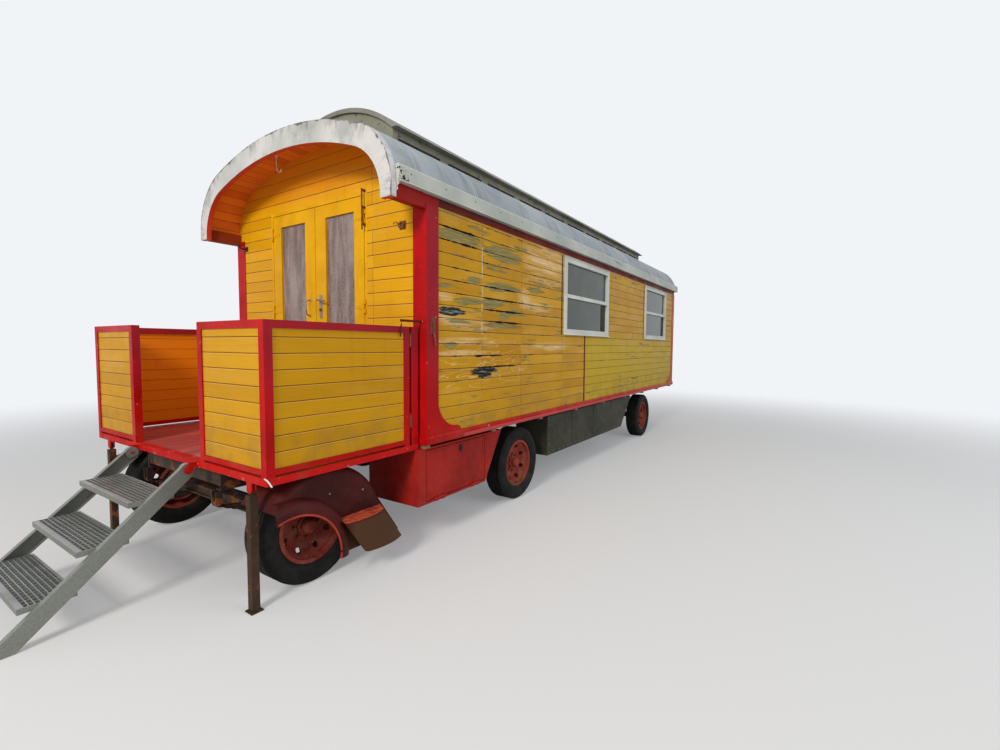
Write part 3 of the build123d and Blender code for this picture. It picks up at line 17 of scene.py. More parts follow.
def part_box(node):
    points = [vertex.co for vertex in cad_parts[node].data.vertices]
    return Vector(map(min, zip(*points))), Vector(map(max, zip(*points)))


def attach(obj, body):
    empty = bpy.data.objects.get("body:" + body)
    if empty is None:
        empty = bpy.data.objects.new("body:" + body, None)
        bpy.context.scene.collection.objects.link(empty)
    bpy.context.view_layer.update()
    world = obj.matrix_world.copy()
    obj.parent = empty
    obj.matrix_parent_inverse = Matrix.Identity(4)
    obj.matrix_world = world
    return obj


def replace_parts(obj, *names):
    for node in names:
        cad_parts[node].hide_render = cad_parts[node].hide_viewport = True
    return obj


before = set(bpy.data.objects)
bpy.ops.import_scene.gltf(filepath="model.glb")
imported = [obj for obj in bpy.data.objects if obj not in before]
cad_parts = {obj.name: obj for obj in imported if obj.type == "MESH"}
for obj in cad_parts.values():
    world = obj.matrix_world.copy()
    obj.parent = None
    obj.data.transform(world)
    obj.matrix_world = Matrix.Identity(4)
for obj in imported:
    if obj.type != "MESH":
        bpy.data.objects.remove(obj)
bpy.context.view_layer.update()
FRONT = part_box("end_wall_front")[1].x

# %% [markdown]
# ## The camera
# The photograph was taken from about eye height with a wide lens, close to the porch corner.
# A wide lens makes near pieces large and far ones small, so the view only matches from the
# right place. The place and the lens come from fitting the wagon's straight edges.

# %% Camera
def point(x, y, z):
    """A place in metres, with x measured from the front end wall."""
    return Vector((FRONT + x, y, z))


scene = bpy.context.scene
camera_data = bpy.data.cameras.new("camera")
camera = bpy.data.objects.new("camera", camera_data)
scene.collection.objects.link(camera)
camera_data.sensor_width = 36.0
camera_data.lens = 17.153
yaw, pitch, roll = math.radians(213.5), math.radians(-3.47), 0.0071
look = Vector((math.cos(yaw) * math.cos(pitch), math.sin(yaw) * math.cos(pitch), math.sin(pitch)))
camera.rotation_mode = "QUATERNION"
turn = look.to_track_quat("-Z", "Y").to_matrix() @ Matrix.Rotation(roll, 3, "Z")
camera.rotation_quaternion = turn.to_quaternion()
camera.location = point(2.574, 3.590, 1.500)
camera_data.clip_start, camera_data.clip_end = 0.05, 200.0
scene.camera = camera
print("camera at", [round(v, 3) for v in camera.location])

# %% [markdown]
# ## Shader arithmetic
# A procedural surface is mostly arithmetic on position: stripes, steps, streaks and masks.
# Written as nodes one by one it is hard to read, so a small class wraps a socket and turns
# plus, minus and times into Math nodes. Colours go through Mix nodes, as they have three parts.

# %% A socket that does arithmetic
class Val:
    """One number in a shader, which can be added, multiplied and compared."""

    def __init__(self, paint, socket):
        self.paint, self.socket = paint, socket

    def math(self, operation, *others):
        node = self.paint.node("ShaderNodeMath", operation=operation)
        for index, value in enumerate((self, *others)):
            self.paint.put(node.inputs[index], value)
        return Val(self.paint, node.outputs[0])

    def __add__(self, other):
        return self.math("ADD", other)

    def __sub__(self, other):
        return self.math("SUBTRACT", other)

    def __mul__(self, other):
        return self.math("MULTIPLY", other)

    def __truediv__(self, other):
        return self.math("DIVIDE", other)

    def __rsub__(self, other):
        return (self * -1.0) + other

    __radd__ = __add__
    __rmul__ = __mul__

    def floor(self):
        return self.math("FLOOR")

    def fract(self):
        return self.math("FRACT")

    def abs(self):
        return self.math("ABSOLUTE")

    def most(self, other):
        return self.math("MAXIMUM", other)

    def least(self, other):
        return self.math("MINIMUM", other)

    def above(self, limit):
        return self.math("GREATER_THAN", limit)

    def ramp(self, low, high, start=0.0, end=1.0):
        """A smooth step from start to end as the value goes from low to high."""
        node = self.paint.node("ShaderNodeMapRange", interpolation_type="SMOOTHSTEP")
        for name, value in (("Value", self), ("From Min", low), ("From Max", high),
                            ("To Min", start), ("To Max", end)):
            self.paint.put(node.inputs[name], value)
        return Val(self.paint, node.outputs["Result"])


print("a shader value can", [name for name in vars(Val) if not name.startswith("_")])

# %% [markdown]
# ## A box of paints
# Every finish here starts from the same few things: the position in metres, noise, random
# numbers, mixes and one Principled shader. A class keeps them together, so that a recipe reads
# as a list of layers. The position comes from Object coordinates, because each piece sits at its
# real place, and a piece that swings or turns takes its pattern with it.

# %% A material with helpers
class Paint:
    """A node material: it gives positions, noise and mixes, and ends in one shader."""

    def __init__(self, name):
        self.material = bpy.data.materials.new(name)
        self.material.use_nodes = True
        self.tree = self.material.node_tree
        self.tree.nodes.clear()
        self.shader = self.tree.nodes.new("ShaderNodeBsdfPrincipled")
        self.output = self.tree.nodes.new("ShaderNodeOutputMaterial")
        self.tree.links.new(self.shader.outputs[0], self.output.inputs[0])
        self.place = self.node("ShaderNodeTexCoord").outputs["Object"]
        split = self.node("ShaderNodeSeparateXYZ")
        self.put(split.inputs[0], self.place)
        self.x, self.y, self.z = (Val(self, socket) for socket in split.outputs)

    def node(self, kind, **settings):
        made = self.tree.nodes.new(kind)
        for name, value in settings.items():
            setattr(made, name, value)
        return made

    def put(self, socket, value):
        """Sets a socket from a number, a tuple, another socket or a Val."""
        if isinstance(value, Val):
            value = value.socket
        if isinstance(value, bpy.types.NodeSocket):
            self.tree.links.new(value, socket)
        else:
            socket.default_value = value

    def stretched(self, x, y, z):
        """The position with each axis scaled, for grain and streaks."""
        node = self.node("ShaderNodeVectorMath", operation="MULTIPLY")
        self.put(node.inputs[0], self.place)
        node.inputs[1].default_value = (x, y, z)
        return node.outputs[0]

    def together(self, x, y, z):
        """Three values as one position, for noise that follows its own axes."""
        node = self.node("ShaderNodeCombineXYZ")
        for socket, value in zip(node.inputs, (x, y, z)):
            self.put(socket, value)
        return node.outputs[0]

    def noise(self, scale, detail=3.0, rough=0.55, where=None):
        node = self.node("ShaderNodeTexNoise")
        self.put(node.inputs["Vector"], where or self.place)
        self.put(node.inputs["Scale"], scale)
        self.put(node.inputs["Detail"], detail)
        self.put(node.inputs["Roughness"], rough)
        return Val(self, node.outputs["Fac"])

    def cells(self, scale):
        """The distance to the nearest of many scattered points."""
        node = self.node("ShaderNodeTexVoronoi")
        self.put(node.inputs["Vector"], self.place)
        self.put(node.inputs["Scale"], scale)
        return Val(self, node.outputs["Distance"])

    def facing(self):
        """The direction that a face looks in, as three values."""
        split = self.node("ShaderNodeSeparateXYZ")
        self.put(split.inputs[0], self.node("ShaderNodeNewGeometry").outputs["True Normal"])
        return [Val(self, socket) for socket in split.outputs]

    def chance(self, value):
        """A fixed random number for each whole number, such as a board's count."""
        node = self.node("ShaderNodeTexWhiteNoise", noise_dimensions="1D")
        self.put(node.inputs["W"], value)
        return Val(self, node.outputs["Value"])

    def mix(self, factor, first, second):
        node = self.node("ShaderNodeMix", data_type="RGBA")
        colour_in = [s for s in node.inputs if s.type == "RGBA"]
        self.put(node.inputs[0], factor)
        for socket, value in zip(colour_in, (first, second)):
            self.put(socket, (*value, 1.0) if isinstance(value, tuple) else value)
        return [s for s in node.outputs if s.type == "RGBA"][0]

    def done(self, colour, rough=0.6, metal=0.0, bump=None, depth=0.001, **fixed):
        """Connects the results, and returns the material."""
        self.put(self.shader.inputs["Base Color"],
                 (*colour, 1.0) if isinstance(colour, tuple) else colour)
        self.put(self.shader.inputs["Roughness"], rough)
        self.put(self.shader.inputs["Metallic"], metal)
        for name, value in fixed.items():
            self.put(self.shader.inputs[name.replace("_", " ")], value)
        if bump is not None:
            node = self.node("ShaderNodeBump")
            node.inputs["Distance"].default_value = depth
            self.put(node.inputs["Height"], bump)
            self.tree.links.new(node.outputs[0], self.shader.inputs["Normal"])
        return self.material


def dress(material, *nodes):
    """Gives a material to CAD nodes."""
    for name in nodes:
        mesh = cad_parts[name].data
        mesh.materials.clear()
        mesh.materials.append(material)


print("a paint offers", [name for name in vars(Paint) if not name.startswith("_")])

# %% [markdown]
# ## Places that show their age
# Noise can scatter marks evenly, but this wagon's bare, cracked and rotten places, and its pale
# patches of painted sheen, sit where they sit. So they are listed as ovals on the side wall, and
# noise only gives them their ragged rims.

# %% The wagon's own marks
SEAM = 2.812  # how far behind the front end wall the board seam is
# Middle x, middle z, half length and half height of each place
WORN = ((-0.41, 2.335, 0.36, 0.060), (-0.65, 2.440, 0.30, 0.040), (-1.01, 2.290, 0.44, 0.065),
        (-1.03, 2.022, 0.44, 0.055), (-0.51, 1.853, 0.25, 0.045), (-0.84, 1.870, 0.21, 0.040),
        (-0.58, 2.036, 0.13, 0.040), (-0.25, 1.950, 0.18, 0.035), (-1.01, 1.680, 0.42, 0.030),
        (-0.50, 1.783, 0.24, 0.032), (-1.29, 2.402, 0.17, 0.032), (-1.57, 2.050, 0.24, 0.032),
        (-0.27, 1.506, 0.11, 0.036), (-1.19, 1.800, 0.25, 0.030))
# Pale patches of painted sheen, standing in for light reflected off the film
SHEEN_PATCHES = ((-0.54, 1.668, 0.40, 0.055), (-0.60, 1.536, 0.62, 0.042), (-0.25, 1.700, 0.20, 0.060),
            (-0.40, 1.445, 0.45, 0.030), (-1.64, 1.900, 0.36, 0.080), (-0.20, 1.870, 0.14, 0.050),
            (-1.85, 2.330, 0.60, 0.260), (-1.38, 1.950, 0.16, 0.120), (-1.95, 1.500, 0.50, 0.060))
CRACKED = ((-1.03, 1.904, 0.40, 0.060), (-1.03, 1.807, 0.38, 0.035), (-1.03, 1.710, 0.38, 0.030),
           (-0.79, 1.400, 0.30, 0.040), (-0.40, 2.389, 0.34, 0.035), (-0.40, 2.292, 0.34, 0.030),
           (-1.00, 1.322, 0.26, 0.030), (-1.00, 2.001, 0.30, 0.025))
ROTTEN = ((-0.29, 1.764, 0.25, 0.040), (-0.715, 1.288, 0.27, 0.062))
WRINKLED = ((-0.70, 1.36, 0.95, 0.30),)


def inside_any(p, along, places, soft):
    """One inside any of the oval places, and fading out over their rims."""
    total = None
    for x, z, half_x, half_z in places:
        dx, dz = (along - x) / half_x, (p.z - z) / half_z
        here = (dx * dx + dz * dz).ramp(soft, 1.0, 1.0, 0.0)
        total = here if total is None else total.most(here)
    return total


print("places:", len(WORN), "worn,", len(SHEEN_PATCHES), "bleached,", len(CRACKED), "cracked,",
      len(ROTTEN), "rotten")

# %% [markdown]
# ## Weathering on the side wall
# Old oil paint goes in steps. The film wrinkles, then it flakes off to grey-green undercoat, the
# joints open, and where water stands the board rots to black splinters. Before all of these, pale
# patches and wavy pale lines of painted sheen stand in for light reflected off the film.
# Each step is a function that paints over the one before. The flaking noise is shifted from
# board to board, so that a bare patch ends sharply at a joint, as real flaking does.

# %% Board numbers
class Boards:
    """Level boards along x or y: which board a point is on, and how far up that board."""

    def __init__(self, p, pitch, foot, butts, run):
        self.along = p.x - FRONT if run == "x" else p.y
        rows = (p.z - foot) / pitch
        self.number, self.inside = rows.floor(), rows.fract()
        self.edge = (self.inside - 0.5).abs()
        length = sum((self.along.above(butt) for butt in butts), self.along * 0.0)
        self.board = self.number + length * 17.3
        self.local = p.together(p.x * 0.55 + p.chance(self.board * 1.37) * 9.0, p.y * 0.55,
                                p.z * 2.4)


print("a board has its number, its edge and its own noise position")

# %% Bleached, wrinkled and flaked paint
def paint_sheen(p, boards, colour, fine):
    """Pale patches and thin pale lines on the wrinkled film: painted sheen and highlights."""
    wavy = p.noise(4.0, 5.0, 0.6, p.together(p.x * 0.55, p.y * 0.55, p.z * 6.0))
    # painted sheen: pale patches where light reflects off the film
    sheen_patch = inside_any(p, boards.along, SHEEN_PATCHES, 0.0) * wavy.ramp(0.36, 0.60, 0.12, 1.0)
    pale = p.mix(fine.ramp(0.4, 0.6), (0.66, 0.42, 0.15), (0.80, 0.61, 0.34))
    colour = p.mix(sheen_patch * 0.85, colour, pale)
    # painted highlights: thin pale lines along the film's wrinkles
    folded = p.noise(2.6, 2.0, 0.55, p.together(p.x * 0.6, p.y * 0.6, p.z * 4.2))
    wrinkle_highlight = (folded - 0.5).abs().ramp(0.002, 0.012, 1.0, 0.0)
    wrinkle_highlight = wrinkle_highlight * inside_any(p, boards.along, WRINKLED, 0.3)
    return p.mix(wrinkle_highlight * 0.50, colour, (0.82, 0.60, 0.24))


def flake(p, boards, colour, fine, front):
    """Grey-green undercoat where the film is gone, and how much of it is gone."""
    film = p.noise(2.6, 5.0, 0.62, boards.local)
    worn = inside_any(p, boards.along, WORN, 0.15)
    lost = film * 0.68 + fine * 0.68 + front * 0.035 + worn * 0.165 - 0.18
    lost = lost.ramp(0.610, 0.655)
    bare = p.mix(p.noise(24.0, 3.0, 0.6, p.stretched(0.2, 0.2, 3.0)).ramp(0.40, 0.60),
                 (0.165, 0.155, 0.060), (0.27, 0.250, 0.110))
    return p.mix(lost * 0.88, colour, bare), lost


print("bleached and flaked paint ready")

# %% [markdown]
# ## Rot and open joints
# Rot eats along the grain, so its noise is stretched that way, and two noises push the oval's rim
# in and out. A joint could open by a fixed width, but old boards shrink unevenly, so noise widens
# the dark line. The same masks lower the height that feeds the bump, so the light falls into them.

# %% Rot, open joints and a split
def rot(p, boards, colour):
    """Black holes with grey splinters, ragged along the grain."""
    holes = inside_any(p, boards.along, ROTTEN, 0.0)
    jagged = p.noise(26.0, 6.0, 0.78, p.stretched(0.30, 1.0, 1.5))
    lumps = p.noise(9.0, 3.0, 0.6, p.stretched(0.45, 1.0, 2.2))
    rotten = (holes + (jagged - 0.5) * 2.2 + (lumps - 0.5) * 2.6).ramp(0.46, 0.56)
    rotten = rotten * holes.above(0.03)
    splinters = p.noise(34.0, 5.0, 0.75, p.stretched(0.24, 1.0, 2.4)).ramp(0.50, 0.60)
    wood = p.mix(splinters, (0.010, 0.010, 0.010), (0.21, 0.24, 0.22))
    return p.mix(rotten, colour, wood), rotten, splinters


def open_joints(p, boards, colour, front):
    """Dark gaps of changing width between the boards, and one pale split down the wall."""
    ragged = (p.noise(5.0, 6.0, 0.75, p.stretched(1.0, 1.0, 0.4)) - 0.50).most(0.0)
    torn = (p.noise(7.0, 6.0, 0.78, p.stretched(1.0, 1.0, 0.5)) - 0.36).most(0.0)
    gap = ragged * front * 0.40 + torn * inside_any(p, boards.along, CRACKED, 0.2) * 0.42
    crack = (boards.edge + gap).ramp(0.492, 0.502)
    colour = p.mix(crack, colour, (0.014, 0.011, 0.009))
    wander = p.noise(18.0, 4.0, 0.7, p.stretched(0.2, 0.2, 1.0)) * 0.026 - 0.013
    split = (boards.along + 0.684 + wander).abs().ramp(0.003, 0.009, 1.0, 0.0)
    split = split * (p.z - 1.99).abs().ramp(0.36, 0.42, 1.0, 0.0)
    split = split * p.noise(13.0, 3.0).ramp(0.40, 0.50)
    return p.mix(split * 0.9, colour, (0.66, 0.58, 0.40)), crack


def weather(p, boards, colour, height, rough):
    """All of the side wall's marks, most of them near the front."""
    front = (boards.along + 0.95).abs().ramp(0.35, 1.55, 1.0, 0.0) * p.z.ramp(1.15, 1.50)
    start = p.x * 0.25 + p.chance(boards.board * 2.11) * 7.0
    fine = p.noise(15.0, 6.0, 0.7, p.together(start, p.y * 0.3, p.z * 3.0))
    colour = paint_sheen(p, boards, colour, fine)
    colour, lost = flake(p, boards, colour, fine, front)
    colour, rotten, splinters = rot(p, boards, colour)
    colour, crack = open_joints(p, boards, colour, front)
    height = height - lost * 0.8 - crack * 1.5 - rotten * 1.6 + splinters * rotten
    return colour, height, rough + lost * 0.35 + rotten * 0.3


print("rot and open joints ready")

# %% [markdown]
# ## Golden yellow boards
# The walls are tongue and groove boards. Each board took the sun and the brush a little
# differently, so its number picks its shade, and a new length of board starts at each butt
# joint. Every board has a painted highlight on its upper edge and a dark groove, and pale
# patches of painted sheen stand in for light reflected off the gloss. Behind the seam the lower
# boards were repainted a greener yellow. The end walls' top boards are tinted orange, a painted
# bounce light from the orange ceiling, which the rear wall shares.

# %% Paint on boards
def olive_rear(p, boards, colour, sheen):
    """The lower boards behind the seam, in a greener yellow and with less painted sheen low down.
    """
    behind = 1.0 - (boards.along + SEAM).above(0.0)
    olive = behind * p.z.ramp(1.50, 1.75, 0.85, 0.10)
    return p.mix(olive, colour, (0.54, 0.375, 0.002)), sheen * (1.0 - olive) * 2.0


def butt_joints(p, boards, colour, butts):
    """Thin dark lines where boards meet end to end, on three boards out of four."""
    for butt in butts:
        line = (boards.along - butt).abs().ramp(0.0012, 0.0030, 1.0, 0.0)
        line = line * p.chance(boards.number + butt).above(0.25)
        colour = p.mix(line * 0.75, colour, (0.10, 0.045, 0.010))
    return colour


def board_paint(name, dark, light, pitch, foot, butts=(), run="x", side=False, porch=False):
    """Old paint on boards; side adds the side wall's marks, and porch painted orange light inside.
    """
    p = Paint(name)
    boards = Boards(p, pitch, foot, butts, run)
    shade = (p.chance(boards.board) * 0.30 + p.noise(1.1, 2.0) * 0.70).ramp(0.2, 0.8)
    colour = p.mix(shade, dark, light)
    # painted sheen: pale patches that stand in for light reflected off the gloss
    sheen = p.noise(2.0, 4.0, 0.6, boards.local).ramp(0.50, 0.74)
    if side:
        colour, sheen = olive_rear(p, boards, colour, sheen)
    colour = p.mix(sheen * 0.13, colour, (0.80, 0.52, 0.17))
    grain = p.noise(9.0, 5.0, 0.65, p.stretched(0.35, 0.35, 14.0))
    colour = p.mix(grain.ramp(0.45, 0.75) * 0.30, colour, (0.36, 0.15, 0.010))
    runs = p.noise(3.0, 4.0, 0.6, p.stretched(5.0, 5.0, 0.35)).ramp(0.56, 0.80)
    colour = p.mix(runs * 0.22, colour, (0.23, 0.12, 0.02))
    splashed = (p.z - foot).ramp(0.0, 0.36, 1.0, 0.0) * p.noise(6.0, 4.0).ramp(0.40, 0.65)
    colour = p.mix(splashed * 0.35, colour, (0.20, 0.12, 0.04))
    # painted highlight: a pale line along each board's upper edge, as if lit
    edge_highlight = (boards.inside - 0.955).abs().ramp(0.008, 0.020, 1.0, 0.0)
    colour = p.mix(edge_highlight * 0.42, colour, (0.74, 0.58, 0.36))
    # painted bounce light: the end walls' top boards are tinted orange, as if lit by the orange
    # ceiling
    if run == "y":
        colour = p.mix(p.z.ramp(2.62, 3.00, 0.0, 0.70), colour, (0.70, 0.165, 0.006))
    groove = boards.edge.ramp(0.470, 0.5)
    colour = p.mix(groove * 0.75, colour, (0.12, 0.045, 0.010))
    colour = butt_joints(p, boards, colour, butts)
    # painted bounce light: the rails' inward faces are tinted orange, as if lit by the orange
    # ceiling
    if porch:
        towards_x, towards_y, _ = p.facing()
        inner = (towards_y * p.y.math("SIGN")).least(towards_x) * -1.0
        colour = p.mix(inner.above(0.5), colour, (0.76, 0.215, 0.005))
    height = grain * 0.25 - groove * 0.4
    rough = p.noise(7.0, 3.0).ramp(0.3, 0.7, 0.32, 0.50)
    if side:
        colour, height, rough = weather(p, boards, colour, height, rough)
    return p.done(colour, rough, bump=height, depth=0.0018, Specular_IOR_Level=0.12)


print("board paint ready")

# %% [markdown]
# ## Three yellows
# The side wall stands in the sun and is the most faded. The front end wall is sheltered by the
# canopy and kept a warm yellow, which the rear one shares, and the rails are darker. One recipe
# serves all three, with other colours and board widths.

# %% Yellow walls and rail panels
BOARD, RAIL_BOARD = 0.097, 0.089
WALL_FOOT, RAIL_FOOT = (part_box(name)[0].z for name in ("side_wall_left", "rail_panels"))
side_yellow = board_paint("side_boards_paint", (0.47, 0.220, 0.004), (0.62, 0.325, 0.006), BOARD,
                          WALL_FOOT, (-0.684, -1.320, -2.213, -6.100), side=True)
end_yellow = board_paint("end_boards_paint", (0.64, 0.305, 0.002), (0.80, 0.410, 0.003), BOARD,
                         WALL_FOOT, (0.695,), "y")
rail_yellow = board_paint("rail_boards_paint", (0.49, 0.235, 0.002), (0.60, 0.300, 0.003),
                          RAIL_BOARD, RAIL_FOOT, porch=True)
dress(side_yellow, "side_wall_left", "side_wall_right")
dress(end_yellow, "end_wall_front", "end_wall_rear")
dress(rail_yellow, "rail_panels")
print("yellow paints 3, wall boards from z", round(WALL_FOOT, 3))

# %% [markdown]
# ## Red trim and doors
# The frame timbers are deep red. Feet and edges get knocked, so dirt and chips gather low
# down. One recipe serves all of them, and a function handed to it adds what only one piece has:
# the painted sheen on the sill's lip and the posts' sides, or the yellow that a brush left on the
# wall plate's lower edge.

# %% Paint on timber
def timber_paint(name, dark, bright, worn, chips=0.02, gloss=0.38, over=None):
    """Gloss paint on timber; over is a function that adds the piece's own marks."""
    p = Paint(name)
    colour = p.mix(p.noise(2.4, 4.0).ramp(0.3, 0.7), dark, bright)
    grain = p.noise(8.0, 5.0, 0.6, p.stretched(1.0, 1.0, 0.2))
    colour = p.mix(grain.ramp(0.5, 0.8) * 0.3, colour, tuple(v * 0.55 for v in dark))
    runs = p.noise(3.0, 4.0, 0.6, p.stretched(6.0, 6.0, 0.4)).ramp(0.58, 0.82)
    colour = p.mix(runs * 0.30, colour, tuple(v * 0.35 for v in dark))
    chip = (p.noise(21.0, 5.0, 0.68) + chips).ramp(0.69, 0.71)
    colour = p.mix(chip, colour, worn)
    dust = p.noise(5.0, 5.0).ramp(0.5, 0.75) * p.z.ramp(0.74, 1.15, 1.0, 0.12)
    colour = p.mix(dust * 0.25, colour, (0.25, 0.09, 0.05))
    if over:
        colour = over(p, colour)
    rough = p.noise(6.0, 3.0).ramp(0.3, 0.7, gloss, gloss + 0.2) + chip * 0.25
    return p.done(colour, rough, bump=grain * 0.3 - chip * 0.8, depth=0.0012,
                  Specular_IOR_Level=0.10)


def red_with_painted_sheen(p, colour):
    """The sill's lower lip carries a painted pink sheen of reflected sky, the corner posts' sides a
    painted dark purple shade and reflection, and the red turns a dull orange towards the rear."""
    along = p.x - FRONT
    # painted sheen: a pink band on the sill's lower lip, standing in for reflected sky
    lip = p.z.ramp(0.802, 0.808, 1.0, 0.0) * along.ramp(-0.45, -0.40, 1.0, 0.0)
    colour = p.mix(lip * 0.5, colour, (0.62, 0.12, 0.12))
    # painted shade and reflection: the front posts' side faces go dark purple
    post = p.facing()[1].abs().above(0.7) * along.above(-0.60) * p.z.ramp(1.0, 1.6, 0.0, 0.55)
    colour = p.mix(post, colour, (0.22, 0.016, 0.035))
    return p.mix(along.ramp(-6.9, -4.6, 0.60, 0.0), colour, (0.44, 0.13, 0.02))


def brushed_plate(p, colour):
    """The wall plate's red is brighter under the canopy, its inward faces carry a painted shade of
    dull brown, and yellow was brushed over its lower edge above the boards."""
    behind, up = (p.x - FRONT).ramp(-0.135, -0.130, 1.0, 0.0), p.z.above(2.40)
    colour = p.mix(up * (1.0 - behind) * 0.8, colour, (0.33, 0.012, 0.008))
    foot = p.z.ramp(2.508, 2.512, 1.0, 0.0) * up * behind
    colour = p.mix(foot, colour, (0.50, 0.235, 0.005))
    # painted shade: the plate's inward faces under the canopy are darkened to a dull brown
    inner_face_shade = (p.facing()[1] * p.y).ramp(-0.9, -0.5, 1.0, 0.0) * up
    return p.mix(inner_face_shade, colour, (0.25, 0.040, 0.013))


print("timber paint ready")

# %% [markdown]
# ## Four timber paints
# The posts, the sill and the rails are bright red, the wall plate is nearly brown, and the deck's
# edge is the most chipped, as every shoe passes over it. The doors are yellow like the wall, but
# smooth, so they use the timber recipe and not the one for boards.

# %% Red frame and yellow doors
red_trim = timber_paint("red_trim_paint", (0.34, 0.003, 0.003), (0.50, 0.004, 0.005),
                        (0.55, 0.30, 0.24), gloss=0.28, over=red_with_painted_sheen)
plate_red = timber_paint("wall_plate_paint", (0.085, 0.011, 0.008), (0.15, 0.014, 0.010),
                         (0.20, 0.09, 0.06), gloss=0.40, over=brushed_plate)
edge_red = timber_paint("deck_edge_paint", (0.40, 0.005, 0.004), (0.57, 0.009, 0.007),
                        (0.62, 0.40, 0.34), chips=0.055, gloss=0.34)
door_yellow = timber_paint("door_paint", (0.64, 0.315, 0.003), (0.82, 0.430, 0.004),
                           (0.30, 0.20, 0.09), 0.0, 0.34)
dress(red_trim, "corner_posts", "sill", "rail_frames")
dress(plate_red, "wall_plates")
dress(edge_red, "deck_frame")
dress(door_yellow, "door_left", "door_right", "door_casing")
print("timber paints", 4)

# %% [markdown]
# ## Planks underfoot
# The deck boards lie flat, and shoes and rain have dulled their red and opened their grain, most
# of all in the middle where people walk. The cabin floor is bare wood. In both, dividing y by
# the plank's pitch and rounding down numbers the planks, and the number picks the shade.

# %% Deck and cabin floor
DECK_PITCH, FLOOR_PITCH = 0.118, 0.14

p = Paint("deck_boards_paint")
plank = (p.y / DECK_PITCH).floor()
colour = p.mix((p.chance(plank) * 0.6 + p.noise(2.0) * 0.4).ramp(0.2, 0.8),
               (0.36, 0.040, 0.034), (0.54, 0.080, 0.070))
grain = p.noise(10.0, 6.0, 0.7, p.stretched(0.35, 7.0, 1.0))
colour = p.mix(grain.ramp(0.50, 0.72) * 0.55, colour, (0.17, 0.045, 0.035))
tread_wear = p.noise(3.0, 5.0, 0.65).ramp(0.54, 0.72) * p.y.abs().ramp(0.3, 1.1, 1.0, 0.3)
colour = p.mix(tread_wear * 0.55, colour, (0.50, 0.22, 0.18))
dirt = p.noise(13.0, 5.0, 0.7).ramp(0.60, 0.74)
colour = p.mix(dirt * 0.5, colour, (0.13, 0.07, 0.045))
deck_paint = p.done(colour, grain.ramp(0.3, 0.7, 0.48, 0.72), bump=grain, depth=0.002)
dress(deck_paint, "deck_boards")

p = Paint("floor_planks")
plank = (p.y / FLOOR_PITCH).floor()
grain = p.noise(7.0, 6.0, 0.65, p.stretched(0.25, 5.0, 5.0))
colour = p.mix((p.chance(plank) * 0.6 + grain * 0.4).ramp(0.2, 0.8),
               (0.13, 0.075, 0.035), (0.27, 0.16, 0.08))
gap = ((p.y / FLOOR_PITCH).fract() - 0.5).abs().ramp(0.47, 0.5)
colour = p.mix(gap, colour, (0.02, 0.013, 0.008))
dress(p.done(colour, grain.ramp(0.3, 0.7, 0.55, 0.75), bump=grain - gap, depth=0.002), "floor")
print("deck planks every", DECK_PITCH, "m, floor planks every", FLOOR_PITCH, "m")

# %% [markdown]
# ## Roof sheets
# The roof is grey sheet that rain has streaked towards the eaves, with lichen where leaves lie.
# The sheets lap at even steps, so the laps come from the fraction of x over the sheet's length:
# a dark seam with painted shade, and a painted highlight on the ridge beside it. The raised roof
# light has browner and greener sheets.

# %% Roof and lantern sheets
SHEET = 0.94


def roof_sheet(name, light, dark, moss):
    """Grey sheet with laps across the roof, streaks, moss and spots."""
    p = Paint(name)
    colour = p.mix(p.noise(1.3, 5.0, 0.6).ramp(0.32, 0.68), dark, light)
    streak = p.noise(2.2, 5.0, 0.6, p.stretched(6.5, 0.7, 0.7)).ramp(0.47, 0.76)
    colour = p.mix(streak * 0.5, colour, tuple(v * 0.42 for v in dark))
    lap = ((p.x / SHEET).fract() - 0.5).abs()
    # the dark seam is the lap's joint with painted shade beside it, and the pale ridge a painted
    # highlight
    seam = lap.ramp(0.492, 0.497)
    ridge = lap.ramp(0.474, 0.480) * (1.0 - seam)
    colour = p.mix(ridge * 0.40, colour, tuple(min(v * 1.7, 0.8) for v in light))
    colour = p.mix(seam * 0.55, colour, tuple(v * 0.3 for v in dark))
    green = (p.noise(2.7, 6.0, 0.68) + p.y.abs().ramp(0.55, 0.95, 0.0, 0.05)).ramp(0.60, 0.70)
    colour = p.mix(green * moss, colour, (0.13, 0.15, 0.075))
    spots = p.cells(38.0).ramp(0.10, 0.16, 1.0, 0.0) * p.noise(3.4, 2.0).ramp(0.50, 0.62)
    colour = p.mix(spots * 0.4, colour, (0.10, 0.09, 0.07))
    rough = p.noise(4.0, 4.0).ramp(0.3, 0.7, 0.42, 0.66)
    return p.done(colour, rough, bump=streak * 0.2 + seam * 0.6 + green * 0.3, depth=0.002)


dress(roof_sheet("roof_sheet", (0.36, 0.40, 0.43), (0.23, 0.265, 0.29), 0.3), "roof_skin")
dress(roof_sheet("lantern_sheet", (0.30, 0.285, 0.245), (0.17, 0.160, 0.135), 0.6),
      "lantern_roof")
print("roof sheets lap every", SHEET, "m")

# %% [markdown]
# ## The ceiling under the canopy
# The ceiling is orange boards that follow the vault. Their joints are drawn by arc length: the
# crown and the corners are circles, so an angle times a radius counts the boards. Plain y would
# squeeze them together where the vault turns down.

# %% Length along the vault
CROWN_R, CORNER_R = 2.700, 0.500
roof_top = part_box("roof_skin")[1]
corner_y, low_z = roof_top.y - CORNER_R, roof_top.z - CROWN_R
corner_z = low_z + math.sqrt((CROWN_R - CORNER_R) ** 2 - corner_y ** 2)
lean = math.atan2(corner_y, corner_z - low_z)


